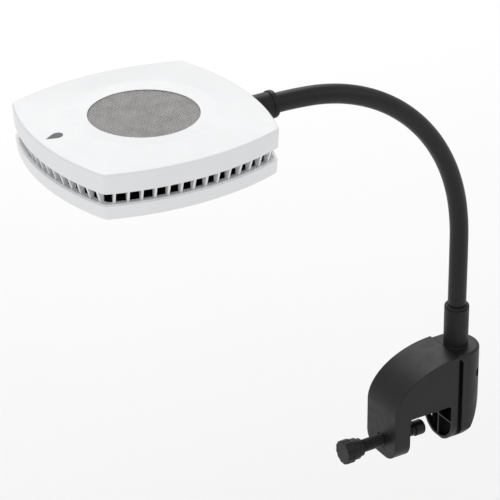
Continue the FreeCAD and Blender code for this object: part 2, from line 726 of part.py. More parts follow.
def heat_sink():
    """A plate with upright fins that run outwards under the fan."""
    plate = body("SinkPlate")
    outline = bowed_square(plate, "SinkOutline", "head_half - sink_inset", "sink_foot")
    pad(plate, "SinkPad", outline, "sink_base")
    count = round(size("fin_count"))
    height = "fan_foot - fin_gap - sink_top"
    fins = [
        radial_box(
            f"fin_{i}", "fin_start", "fin_end - fin_start", "fin_thick", f"{height} + 0.5",
            360 * (i + 0.5) / count, "sink_top - 0.5",
        )
        for i in range(count)
    ]
    places = at_corners("boss_place")
    rooms = [
        cylinder(f"boss_room_{i}", "boss_radius + 1", "20", (x, y, "sink_top"))
        for i, (x, y) in enumerate(places)
    ]
    holes = [
        cylinder(f"sink_hole_{i}", "screw_radius + slip", "sink_base", (x, y, "sink_foot"))
        for i, (x, y) in enumerate(places)
    ]
    socket_room = box(
        "socket_room", "socket_length + 30", "2 * socket_half + 1", "20",
        ("head_half - collar_seat - socket_length + 14.5", 0, "sink_top"),
    )
    whole = fuse("sink_whole", plate, *fins)
    passage = arm_passage("sink_passage", "slip")
    return node(cut("heat_sink_cut", whole, socket_room, passage, *rooms, *holes), "heat_sink", HEAD)


def light_engine():
    """The LED board, the LED packages, the window and its seal."""
    node(cylinder("board_disc", "board_radius", "board", (0, 0, "board_foot")), "led_board", HEAD)
    leds = []
    for ring, (radius, count) in enumerate((("0", 1), ("8", 6), ("16", 12), ("24", 16))):
        for i in range(count):
            angle = 360 * i / count
            at = (f"{radius} * cos({angle})", f"{radius} * sin({angle})", "board_foot - led_height")
            leds.append(box(f"led_{ring}_{i}", "led_side", "led_side", "led_height", at))
    node(group("led_group", leds), "led_emitters", HEAD)
    pane = cylinder("window_disc", "window_radius", "window", (0, 0, "floor_top - window"))
    node(pane, "lens_window", HEAD)
    height = "sink_foot - floor_top"
    seal = tube("seal_tube", "window_radius", "board_radius + 1", height, (0, 0, "floor_top"))
    node(seal, "window_seal", HEAD)


def inlet_place(depth):
    """Where the power inlet's outer face is, and points that far inside it."""
    offset = "side_radius - head_half"
    x = f"sqrt(pow(side_radius - 0.5; 2) - pow(inlet_y; 2)) - ({offset}) - ({depth})"
    return (x, "inlet_y", "inlet_level")


def electronics():
    """The driver board on its plate and the power inlet in the far side of the top cover."""
    level = "vent_top + guide"
    bosses = [
        cylinder(f"board_foot_{i}", "1.5", "1.2", (f"{sx} * (driver_length / 2 - 3)", "driver_y", level))
        for i, sx in enumerate((-1, 1))
    ]
    card = box("driver_card", "driver_length", "driver_width", "board", (0, "driver_y", f"{level} + 1.2"))
    parts = [
        box(f"driver_part_{i}", width, "driver_width - 6", "3", (x, "driver_y", f"{level} + 1.2 + board"))
        for i, (x, width) in enumerate((("-18", "8"), ("-5", "10"), ("9", "6"), ("19", "5")))
    ]
    node(fuse("driver_whole", card, *parts, *bosses), "driver_board", HEAD)
    body_start = inlet_place("inlet_length")
    barrel = cylinder("inlet_barrel", "inlet_radius", "inlet_length", body_start, "X")
    hollow = cylinder("inlet_hollow", "inlet_bore", "inlet_length", inlet_place("inlet_length - 2"), "X")
    pin = cylinder("inlet_pin", "1", "inlet_length - 1", body_start, "X")
    node(fuse("inlet_whole", cut("inlet_shell", barrel, hollow), pin), "power_inlet", HEAD)


def head_collar():
    """The socket fixed to the heat sink and the collar that carries the neck's end."""
    start = "head_half - collar_seat"
    socket = box(
        "socket_block", "socket_length", "2 * socket_half", "socket_height",
        (f"{start} - socket_length / 2", 0, "sink_top"),
    )
    bore_start = (f"{start} - socket_length + 2", 0, "-arm_drop")
    bore = cylinder("socket_bore", "core_radius", "socket_length - 2", bore_start, "X")
    node(cut("socket_cut", socket, bore), "arm_socket", HEAD)
    length = "collar_seat + collar_reach"
    at = (start, 0, "-arm_drop")
    shaft = cylinder("collar_shaft", "collar_radius", length, at, "X")
    ring_start = (f"{start} + {length} - ring_width", 0, "-arm_drop")
    ring = cylinder("collar_rim", "collar_radius + collar_ring", "ring_width", ring_start, "X")
    core_way = cylinder("collar_core_way", "core_radius", length, at, "X")
    grip_start = (f"{start} + {length} - sleeve_grip", 0, "-arm_drop")
    sleeve_way = cylinder("collar_sleeve_way", "neck_radius", "sleeve_grip", grip_start, "X")
    node(cut("collar_cut", fuse("collar_whole", shaft, ring), core_way, sleeve_way), "head_collar", HEAD)


# ---------------------------------------------------------------- the gooseneck


def path_point(distance):
    """A point of the neck's centreline and its direction, that far along from the post's collar."""
    lower, radius = size("lower_run"), size("arm_radius")
    turn = math.pi / 2 * radius
    foot = V(size("barrel_x"), 0, size("post_top"))
    if distance <= lower:
        return foot + V(0, 0, distance), V(0, 0, 1)
    centre = foot + V(-radius, 0, lower)
    if distance <= lower + turn:
        angle = (distance - lower) / radius
        outwards = V(math.cos(angle), 0, math.sin(angle))
        return centre + outwards * radius, V(-math.sin(angle), 0, math.cos(angle))
    return centre + V(lower + turn - distance, 0, radius), V(-1, 0, 0)


def bending_points():
    """The centres of the neck's ball joints, from the post to the head."""
    count = round(size("link_count")) + 1
    return [path_point(size("end_run") + i * size("link_pitch"))[0] for i in range(count)]


def aim(thing, start, end):
    """Puts a piece made along +Z from the origin at a start point, turned towards an end point."""
    thing.Placement = FreeCAD.Placement(start, FreeCAD.Rotation(Z_AXIS, end - start))
    return thing


def ball_end(name):
    """The ball and its stalk, round the origin."""
    stalk = cylinder(name + "_stalk", "stalk_radius", "shoulder + 0.5", (0, 0, "0"))
    return fuse(name + "_ball_end", sphere(name + "_ball", "ball_radius"), stalk)


def cup(name, level):
    """The hollow that takes the next link's ball."""
    return sphere(name + "_cup", "ball_radius + ball_gap", (0, 0, level))


def neck_links():
    """Ten links of core, each a ball and a socket, and their sections of the sleeve."""
    points = bending_points()
    for i, (start, end) in enumerate(zip(points, points[1:]), start=1):
        name = f"link{i}"
        rod = cylinder(name + "_rod", "core_radius", "link_pitch + mouth - shoulder", (0, 0, "shoulder"))
        whole = fuse(name + "_whole", ball_end(name), rod)
        node(aim(cut(name + "_cut", whole, cup(name, "link_pitch")), start, end), f"neck_core_{i:02d}")
        skin = tube(
            name + "_skin", "neck_radius", "sleeve_bore", "link_pitch - 2 * sleeve_gap", (0, 0, "sleeve_gap")
        )
        node(aim(skin, start, end), f"neck_sleeve_{i:02d}")


def neck_ends():
    """The neck's fixed ends: a socket on the post and a ball on the head's side."""
    points = bending_points()
    first, last = points[0], points[-1]
    post_end = path_point(0)[0]
    rod = cylinder("foot_rod", "core_radius", "end_run + mouth + core_hold", (0, 0, "-core_hold"))
    foot = cut("foot_core", rod, cup("foot", "end_run"))
    node(aim(foot, post_end, first), "neck_core_post")
    length = "end_run - sleeve_gap + sleeve_grip"
    skin = tube("foot_skin", "neck_radius", "sleeve_bore", length, (0, 0, "-sleeve_grip"))
    node(aim(skin, post_end, first), "neck_sleeve_post")
    reach = "end_run + collar_reach + collar_seat + socket_length - 2"
    tail = cylinder("tail_rod", "core_radius", f"{reach} - shoulder", (0, 0, "shoulder"))
    end = path_point(size("path_length"))[0]
    node(aim(fuse("tail_core", ball_end("tail"), tail), last, end), "neck_core_head")
    skin = tube("tail_skin", "neck_radius", "sleeve_bore", length, (0, 0, "sleeve_gap"))
    node(aim(skin, last, end), "neck_sleeve_head")


# ---------------------------------------------------------------- the clamp


def foot(name, x, length, half, drop, rounding):
    """A leg that hangs from the rim's level, its lower corners rounded seen along X."""
    flat = f"({half}) - ({rounding})"
    straight = f"({drop}) - ({rounding})"
    start = f"({x}) - ({length}) / 2"
    upper = box(name + "_upper", length, f"2 * ({half})", straight, (x, 0, f"-({straight})"))
    lower = box(name + "_lower", length, f"2 * ({flat})", drop, (x, 0, f"-({drop})"))
    rounds = [
        cylinder(f"{name}_round_{i}", rounding, length, (start, f"{s} * ({flat})", f"-({straight})"), "X")
        for i, s in enumerate((-1, 1))
    ]
    return fuse(name, upper, lower, *rounds)


def elliptic_bar(name, x, level, reach, height):
    """A bar along Y with an elliptic section."""
    curve = doc.addObject("Part::Ellipse", name + "_curve")
    wide = measure(reach) >= measure(height)
    bind(curve, MajorRadius=reach if wide else height, MinorRadius=height if wide else reach)
    upright = FreeCAD.Rotation(X_AXIS, 90)
    curve.Placement.Rotation = upright if wide else upright.multiply(FreeCAD.Rotation(Z_AXIS, 90))
    place(curve, (x, "clamp_width", level))
    bar = doc.addObject("Part::Extrusion", name)
    bar.Base = curve
    bar.DirMode = "Custom"
    bar.Dir = V(0, -1, 0)
    bar.Solid = True
    return bind(bar, LengthFwd="2 * clamp_width")


def jaw_hollow(name, x, length, half="side - rim"):
    """The room inside the fixed jaw's rim."""
    rounding = f"({half}) - jaw_flat"
    room = foot(name + "_room", x, length, half, "jaw_drop - rim", rounding)
    ceiling = box(name + "_top", length, "clamp_width", "jaw_top", (x, 0, "-jaw_top"))
    return cut(name, room, ceiling)


def clamp_frame():
    """The C of the clamp: the bowed front and top, the front leg, and the hollow fixed jaw with its ribs."""
    length = "seam - front"
    middle = "(seam + front) / 2"
    bow = elliptic_bar("front_bow", "bow_end", "bow_foot", "bow_end - front", "roof - bow_foot")
    roof_block = box("roof_block", length, "clamp_width", "roof - bow_foot", (middle, 0, "bow_foot"))
    bridge = box("bridge", length, "clamp_width", "bow_foot", (middle, 0, "0"))
    front_leg = foot("front_leg", "(front - slot_half) / 2", "leg", "side", "leg_drop", "foot_radius")
    jaw_x, jaw_length = "(slot_half + seam) / 2", "seam - slot_half"
    jaw = cut(
        "jaw_rim",
        foot("jaw", jaw_x, jaw_length, "side", "jaw_drop", "jaw_round"),
        jaw_hollow("jaw_window", jaw_x, jaw_length),
    )
    bars = [
        box("jaw_upright_rib", jaw_length, "rib", "jaw_drop", (jaw_x, 0, "-jaw_drop")),
        box("jaw_level_rib", jaw_length, "clamp_width", "rib", (jaw_x, 0, "-rib_drop - rib / 2")),
    ]
    ribs = common("jaw_ribs", fuse("jaw_bars", *bars), jaw_hollow("rib_room", jaw_x, jaw_length))
    whole = fuse("frame_whole", common("roof_bow", bow, roof_block), bridge, front_leg, jaw, ribs)
    screw_way = cylinder("insert_seat", "insert_radius", "leg - 1.5", ("front + 1.5", 0, "-drop"), "X")
    screw_clear = cylinder("screw_clear", "thread_radius + 0.6", "leg", ("front", 0, "-drop"), "X")
    pin_ways = joining_pins("frame_pin_way")
    return node(cut("frame_cut", whole, screw_way, screw_clear, *pin_ways), "clamp_frame")


def joining_pins(name):
    """Four blind pins across the parting plane, or the holes for them."""
    return [
        cylinder(
            f"{name}_{height}_{side}", "pin_radius", "2 * pin_half",
            ("seam - pin_half", f"{side} * pin_y", height), "X",
        )
        for side in (-1, 1)
        for height in ("pin_low", "pin_high")
    ]


def arm_barrel():
    """The rear of the clamp, with the post's bore, the hollow behind the jaw and the lock screw's hole."""
    edge = "seam + seam_gap"
    depth = "barrel_x + barrel_radius - seam"
    round_back = cylinder("barrel_round", "barrel_radius", "roof + jaw_drop", ("barrel_x", 0, "-jaw_drop"))
    height = "roof + jaw_drop"
    web_length, web_x = f"barrel_x - ({edge})", f"({edge} + barrel_x) / 2"
    behind_x = f"seam + groove + ({depth}) / 2"
    behind = box("barrel_behind", depth, "clamp_width", height, (behind_x, 0, "-jaw_drop"))
    web = box("barrel_web", web_length, "2 * groove_half", height, (web_x, 0, "-jaw_drop"))
    cover_at = (web_x, 0, "roof - groove_cover")
    cover = box("barrel_cover", web_length, "2 * barrel_radius", "groove_cover", cover_at)
    blank = fuse("barrel_blank", common("barrel_back", round_back, behind), web, cover)
    reach = "barrel_x + barrel_radius - slot_half"
    fall = "jaw_drop + tail_level"
    bow = elliptic_bar("rear_bow", "slot_half", "tail_level", reach, fall)
    span = "2 * clamp_width"
    upper = box("barrel_upper", span, span, "roof - tail_level", ("barrel_x", 0, "tail_level"))
    u_shape = foot("barrel_foot", "barrel_x", "2 * barrel_radius", "side", "jaw_drop", "jaw_round")
    bridge = box("barrel_bridge", "2 * barrel_radius", "clamp_width", "tail_level + 1", ("barrel_x", 0, "0"))
    lower = common("barrel_lower", bow, fuse("barrel_u", u_shape, bridge))
    whole = common("barrel_whole", blank, fuse("barrel_envelope", upper, lower))
    bore = cylinder("post_bore", "spigot_radius + running_gap", "roof", ("barrel_x", 0, "bore_foot"))
    room_foot = "-jaw_top - 0.5"
    room = cylinder("clip_room_hole", "clip_room", f"bore_foot - ({room_foot})", ("barrel_x", 0, room_foot))
    inner_bow = elliptic_bar("hollow_bow", "slot_half", "tail_level", f"{reach} - rim", f"{fall} - rim")
    hollow_x = f"{edge} + jaw_hollow / 2"
    deep_hollow = jaw_hollow("web_hollow", hollow_x, "jaw_hollow", "groove_half - rim")
    hollow = common("barrel_hollow", deep_hollow, inner_bow)
    lock_hole = lock_rod("lock_hole", "lock_radius", "spigot_radius", "barrel_radius")
    pin_ways = joining_pins("barrel_pin_way")
    return node(cut("barrel_cut", whole, bore, room, hollow, lock_hole, *pin_ways), "arm_barrel")


def lock_rod(name, radius, start, length):
    """A rod along the lock screw's line, from a distance off the post's axis."""
    angle = size("lock_angle")
    made = bind(doc.addObject("Part::Cylinder", name), Radius=radius, Height=length)
    made.Placement.Rotation = FreeCAD.Rotation(Z_AXIS, angle).multiply(TURNS["X"])
    return place(
        made, (f"barrel_x + ({start}) * cos(lock_angle)", f"({start}) * sin(lock_angle)", "lock_height")
    )


def clamp_fasteners():
    """The lock screw, the pins between the clamp's halves and the threaded insert."""
    screw = lock_rod("lock_body", "lock_radius", "spigot_radius + running_gap", "lock_length")
    drive = lock_rod("lock_drive", "lock_radius / 2", "spigot_radius + lock_length - 2", "3")
    node(cut("lock_cut", screw, drive), "lock_screw")
    node(group("pin_group", joining_pins("joining_pin")), "joining_pins")
    start = ("front + 1.5", 0, "-drop")
    insert = tube("insert_tube", "insert_radius", "thread_radius + running_gap", "leg - 1.5", start, "X")
    node(insert, "thread_insert")


def post():
    """The post that turns in the barrel, its washer and its retaining ring."""
    at = ("barrel_x", 0)
    collar = cylinder("post_collar_blank", "post_radius - 1.2", "post_collar", (*at, "roof + washer"))
    collar_body = cylinder("post_collar_body", "post_radius", "post_collar - 1.5", (*at, "roof + washer"))
    collar_top = cone("post_collar_top", "post_radius", "post_radius - 1.2", "1.5", (*at, "post_top - 1.5"))
    spigot = cylinder("spigot", "spigot_radius", "roof + washer - spigot_foot", (*at, "spigot_foot"))
    line = tube("collar_line", "post_radius + 1", "post_radius - line_depth", "0.4", (*at, "post_top - 1.9"))
    core_way = cylinder("post_core_way", "core_radius", "core_hold", (*at, "post_top - core_hold"))
    sleeve_way = cylinder("post_sleeve_way", "neck_radius", "sleeve_grip", (*at, "post_top - sleeve_grip"))
    clip_at = (*at, "bore_foot - clip - 0.1")
    clip_groove = tube("clip_groove", "spigot_radius + 1", "spigot_radius - 1", "clip", clip_at)
    whole = fuse("post_whole", collar, collar_body, collar_top, spigot)
    node(cut("post_cut", whole, line, core_way, sleeve_way, clip_groove), "arm_post")
    washer = tube("washer_tube", "post_radius", "spigot_radius + running_gap", "washer", (*at, "roof"))
    node(washer, "swivel_washer")
    node(tube("clip_tube", "clip_radius", "spigot_radius - 1", "clip", clip_at), "retaining_ring")


def clamp_screw():
    """The screw with its knob, and the tip that presses the panel without turning."""
    level = "-drop"
    nose_length = "tip_length - tip_floor"
    tip_back = "tip_face - tip_length"
    rod_length = f"{tip_back} - 0.3 + knob_back + 4"
    rod = cylinder("screw_rod", "thread_radius", rod_length, ("-knob_back - 4", 0, level), "X")
    nose = cylinder("screw_nose", "nose_radius", f"{nose_length} + 0.1", (f"{tip_back} - 0.4", 0, level), "X")
    node(fuse("screw_whole", rod, nose), "clamp_screw")
    disc_start = "-knob_back - knob_length"
    disc = cylinder("knob_disc_body", "knob_radius", "knob_disc", (disc_start, 0, level), "X")
    step = cylinder("knob_step_body", "knob_step", "knob_length - 3", (disc_start, 0, level), "X")
    neck = cylinder("knob_neck", "knob_step - 1", "knob_length", (disc_start, 0, level), "X")
    count = round(size("flute_count"))
    flutes = []
    for i in range(count):
        y, z = (f"(knob_radius + 0.35) * {turn}({360 * i / count})" for turn in ("cos", "sin"))
        at = (disc_start, y, f"-drop + {z}")
        flutes.append(cylinder(f"flute_{i}", "flute_radius", "knob_disc", at, "X"))
    way = cylinder("knob_way", "thread_radius", "4", ("-knob_back - 4", 0, level), "X")
    node(cut("knob_cut", fuse("knob_whole", disc, step, neck), way, *flutes), "screw_knob")
    cap = cylinder("tip_cap", "tip_radius", "tip_length - 1", (tip_back, 0, level), "X")
    face = cone("tip_nose", "tip_radius", "tip_radius - 1", "1", ("tip_face - 1", 0, level), "X")
    room = cylinder("tip_room", "nose_radius + running_gap", nose_length, (tip_back, 0, level), "X")
    node(cut("tip_cut", fuse("tip_whole", cap, face), room), "pressure_tip")


def check_and_write():
    """Stops on a failed object or an unsound shape, then writes every sub-part."""
    doc.recompute()
    failed = [thing.Name for thing in doc.Objects if set(thing.State) & {"Invalid", "Error"}]
    if failed:
        raise SystemExit(f"these objects failed: {failed}")
    for thing in nodes:
        if thing.Shape.isNull() or not thing.Shape.isValid() or not thing.Shape.Solids:
            raise SystemExit(f"{thing.Label} has no sound shape")
    os.makedirs("parts", exist_ok=True)
    for old in os.listdir("parts"):
        os.remove(os.path.join("parts", old))
    for thing in nodes:
        thing.Shape.exportStep(f"parts/{thing.Label}.step")
        box_of = thing.Shape.BoundBox
        spans = f"{box_of.XLength:7.1f} {box_of.YLength:7.1f} {box_of.ZLength:7.1f}"
        volume = thing.Shape.Volume / 1000
        print(f"{thing.Label:18s} {len(thing.Shape.Solids):2d} solids {spans} mm {volume:8.2f} cm3")


fill_sheet()
top_cover()
vent_ring()
lower_cover()
intake()
air_guide()
fan()
heat_sink()
light_engine()
electronics()
head_collar()
case_screws()
neck_ends()
neck_links()
clamp_frame()
arm_barrel()
clamp_fasteners()
post()
clamp_screw()
check_and_write()
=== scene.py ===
"""The looks of a clamp-on gooseneck aquarium light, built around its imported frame.

Every class below is one sub-assembly of the lamp. Its sizes are in millimetres, in the frame's own axes:
+Z up, the head at -X, and the origin in the middle of the clamp's seat on the tank's rim.
"""

import json
import logging
import math
from collections.abc import Callable, Iterable, Sequence
from dataclasses import dataclass, field
from enum import Enum

import bmesh
import bpy
from bmesh.types import BMesh
from mathutils import Matrix, Vector
from mathutils.bvhtree import BVHTree

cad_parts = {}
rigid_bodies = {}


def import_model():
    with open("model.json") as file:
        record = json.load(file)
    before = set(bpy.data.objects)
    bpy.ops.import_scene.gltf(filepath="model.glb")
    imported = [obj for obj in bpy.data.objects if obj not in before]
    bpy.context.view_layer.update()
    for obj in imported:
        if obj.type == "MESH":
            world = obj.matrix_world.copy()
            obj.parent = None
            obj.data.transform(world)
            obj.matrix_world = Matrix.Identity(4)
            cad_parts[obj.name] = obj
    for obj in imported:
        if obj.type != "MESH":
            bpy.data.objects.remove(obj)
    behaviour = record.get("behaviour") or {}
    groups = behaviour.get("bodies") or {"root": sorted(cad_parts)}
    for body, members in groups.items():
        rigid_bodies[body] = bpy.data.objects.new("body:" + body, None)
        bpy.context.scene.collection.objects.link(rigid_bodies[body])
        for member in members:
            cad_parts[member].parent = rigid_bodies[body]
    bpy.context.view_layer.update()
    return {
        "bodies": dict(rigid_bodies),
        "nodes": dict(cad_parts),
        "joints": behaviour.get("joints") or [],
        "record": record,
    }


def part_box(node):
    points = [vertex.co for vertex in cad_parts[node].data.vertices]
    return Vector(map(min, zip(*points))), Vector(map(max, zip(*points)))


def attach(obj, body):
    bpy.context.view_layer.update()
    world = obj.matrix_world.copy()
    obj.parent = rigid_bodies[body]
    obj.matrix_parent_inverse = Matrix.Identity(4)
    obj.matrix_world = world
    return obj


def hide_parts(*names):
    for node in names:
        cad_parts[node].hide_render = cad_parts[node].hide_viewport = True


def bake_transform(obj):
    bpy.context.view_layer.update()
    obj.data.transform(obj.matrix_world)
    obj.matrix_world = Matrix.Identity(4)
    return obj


LOG = logging.getLogger("aquarium_light")
MM = 0.001
X_AXIS, Y_AXIS, Z_AXIS = Vector((1, 0, 0)), Vector((0, 1, 0)), Vector((0, 0, 1))
CREASE = math.radians(32)

Point = tuple[float, float]
Socket = bpy.types.NodeSocket


class Body(str, Enum):
    """The moving bodies of the lamp that pieces ride on."""

    CLAMP = "clamp"
    TIP = "tip"
    SCREW = "screw"
    POST = "post"
    HEAD = "head"


class Carve(str, Enum):
    """How one solid shapes another."""

    CUT = "DIFFERENCE"
    KEEP = "INTERSECT"
    JOIN = "UNION"


# ---------------------------------------------------------------- outlines and solids


def rounded(corners: Sequence[tuple[float, float, float]], steps: int = 6) -> list[Point]:
    """An outline with rounded corners.

    Args:
        corners: x, y and rounding radius of each corner, in order round the outline.
        steps: straight pieces in each rounded corner.

    Returns:
        The outline's points.
    """
    points: list[Point] = []
    for index, (x, y, radius) in enumerate(corners):
        if radius <= 0:
            points.append((x, y))
            continue
        here = Vector((x, y))
        back = (Vector(corners[index - 1][:2]) - here).normalized()
        onward = (Vector(corners[(index + 1) % len(corners)][:2]) - here).normalized()
        half = back.angle(onward) / 2
        centre = here + (back + onward).normalized() * radius / math.sin(half)
        start = here + back * radius / math.tan(half) - centre
        sweep = start.angle_signed(here + onward * radius / math.tan(half) - centre)
        first = math.atan2(start.y, start.x)
        for step in range(steps + 1):
            angle = first - sweep * step / steps
            points.append((centre.x + radius * math.cos(angle), centre.y + radius * math.sin(angle)))
    return points


def arc(centre: Point, radii: Point, first: float, last: float, steps: int) -> list[Point]:
    """Points along part of an ellipse.

    Args:
        centre: the ellipse's middle.
        radii: its two half axes.
        first: angle of the first point, in degrees.
        last: angle of the last point, in degrees.
        steps: straight pieces between them.

    Returns:
        The points, both ends included.
    """
    turns = [math.radians(first + (last - first) * step / steps) for step in range(steps + 1)]
    return [(centre[0] + radii[0] * math.cos(turn), centre[1] + radii[1] * math.sin(turn)) for turn in turns]


def prism(solid: BMesh, outline: Iterable[Vector], push: Vector) -> None:
    """Adds a flat outline pushed into a closed solid.

    Args:
        solid: the mesh that it is added to.
        outline: the outline's points, in one plane.
        push: how far and which way the outline is pushed.
    """
    face = solid.faces.new([solid.verts.new(point) for point in outline])
    made = bmesh.ops.extrude_face_region(solid, geom=[face], use_keep_orig=True)
    moved = [item for item in made["geom"] if isinstance(item, bmesh.types.BMVert)]
    bmesh.ops.translate(solid, verts=moved, vec=push)


def turned(
    solid: BMesh, profile: Sequence[Point], centre: Vector, axis: Vector, steps: int = 64
) -> None:
    """Adds a solid of revolution.

    Args:
        solid: the mesh that it is added to.
        profile: radius and height of each point; it closes on itself, or starts and ends on the axis.
        centre: the point on the axis where height is 0.
        axis: the direction of height.
        steps: facets round the axis.
    """
    side = axis.orthogonal().normalized()
    chain = [solid.verts.new(centre + side * radius + axis * height) for radius, height in profile]
    edges = [solid.edges.new(pair) for pair in zip(chain, chain[1:])]
    if profile[0][0] > 0:
        edges.append(solid.edges.new((chain[-1], chain[0])))
    bmesh.ops.spin(
        solid, geom=chain + edges, cent=centre, axis=axis, angle=2 * math.pi, steps=steps, use_merge=True
    )
    bmesh.ops.remove_doubles(solid, verts=solid.verts, dist=1e-4)


def lofted(solid: BMesh, rings: Sequence[Sequence[Vector]], closed: bool = True) -> None:
    """Adds walls from each ring of points to the next, by extruding the first ring's edges.

    Args:
        solid: the mesh that they are added to.
        rings: rings with one number of points, in order.
        closed: whether the last ring joins the first; otherwise both ends get a face.
    """
    verts = [solid.verts.new(point) for point in rings[0]]
    first = [solid.edges.new(pair) for pair in zip(verts, verts[1:] + verts[:1])]
    edges = first
    for ring in rings[1:]:
        made = bmesh.ops.extrude_edge_only(solid, edges=edges)["geom"]
        place = {vert: index for index, vert in enumerate(verts)}
        raised = [item for item in made if isinstance(item, bmesh.types.BMVert)]
        for vert in raised:
            below = next(edge.other_vert(vert) for edge in vert.link_edges if edge.other_vert(vert) in place)
            verts[place[below]] = vert
            vert.co = ring[place[below]]
        edges = [solid.edges.get(pair) for pair in zip(verts, verts[1:] + verts[:1])]
    if closed:
        bmesh.ops.bridge_loops(solid, edges=first + edges)
    else:
        bmesh.ops.contextual_create(solid, geom=first)
        bmesh.ops.contextual_create(solid, geom=edges)


def block(solid: BMesh, low: Vector, high: Vector, bevel: float = 0.0) -> None:
    """Adds a box between two corners, with small bevels if asked."""
    made = bmesh.ops.create_cube(solid, size=1)["verts"]
    bmesh.ops.scale(solid, verts=made, vec=high - low)
    bmesh.ops.translate(solid, verts=made, vec=(low + high) / 2)
    if bevel:
        edges = list({edge for vert in made for edge in vert.link_edges})
        soften(solid, edges, bevel, 2)


def soften(solid: BMesh, edges: Iterable[bmesh.types.BMEdge], width: float, segments: int) -> None:
    """Rounds those edges."""
    bmesh.ops.bevel(
        solid, geom=list(edges), offset=width, offset_type="OFFSET", segments=segments, profile=0.5,
        affect="EDGES", clamp_overlap=True, material=-1, harden_normals=False,
    )


def sharp_edges(
    solid: BMesh, wanted: Callable[[Vector], bool], angle: float = 30
) -> list[bmesh.types.BMEdge]:
    """The outward edges that turn by more than an angle and whose middle is wanted.

    Args:
        solid: the mesh whose edges are looked at.
        wanted: says whether an edge with that middle is chosen.
        angle: the least turn across an edge, in degrees.

    Returns:
        The chosen edges.
    """
    solid.normal_update()
    return [
        edge
        for edge in solid.edges
        if len(edge.link_faces) == 2
        and edge.calc_face_angle_signed(0) > math.radians(angle)
        and wanted((edge.verts[0].co + edge.verts[1].co) / 2)
    ]


def carved(solid: BMesh, tool: BMesh, how: Carve) -> BMesh:
    """One solid shaped by another.

    Args:
        solid: the mesh that is shaped; it is used up.
        tool: the mesh that shapes it; it is used up.
        how: cut, keep what both share, or join.

    Returns:
        The shaped mesh.
    """
    objects = []
    for shape in (solid, tool):
        bmesh.ops.recalc_face_normals(shape, faces=shape.faces)
        data = bpy.data.meshes.new("carving")
        shape.to_mesh(data)
        shape.free()
        objects.append(bpy.data.objects.new("carving", data))
        bpy.context.scene.collection.objects.link(objects[-1])
    change = objects[0].modifiers.new("carve", "BOOLEAN")
    change.object, change.operation, change.solver = objects[1], how.value, "EXACT"
    evaluated = objects[0].evaluated_get(bpy.context.evaluated_depsgraph_get())
    result = bmesh.new()
    result.from_mesh(evaluated.to_mesh())
    evaluated.to_mesh_clear()
    for used in objects:
        data = used.data
        bpy.data.objects.remove(used)
        bpy.data.meshes.remove(data)
    bmesh.ops.remove_doubles(result, verts=result.verts, dist=1e-4)
    return result


def solid_of(build: Callable[..., None], *details: object, **options: object) -> BMesh:
    """A new mesh with what build adds to it, from those details."""
    made = bmesh.new()
    build(made, *details, **options)
    return made


def shaped(
    solid: BMesh, how: Carve, build: Callable[..., None], *details: object, **options: object
) -> BMesh:
    """A solid carved by one that build makes from those details."""
    return carved(solid, solid_of(build, *details, **options), how)


# ---------------------------------------------------------------- finishes


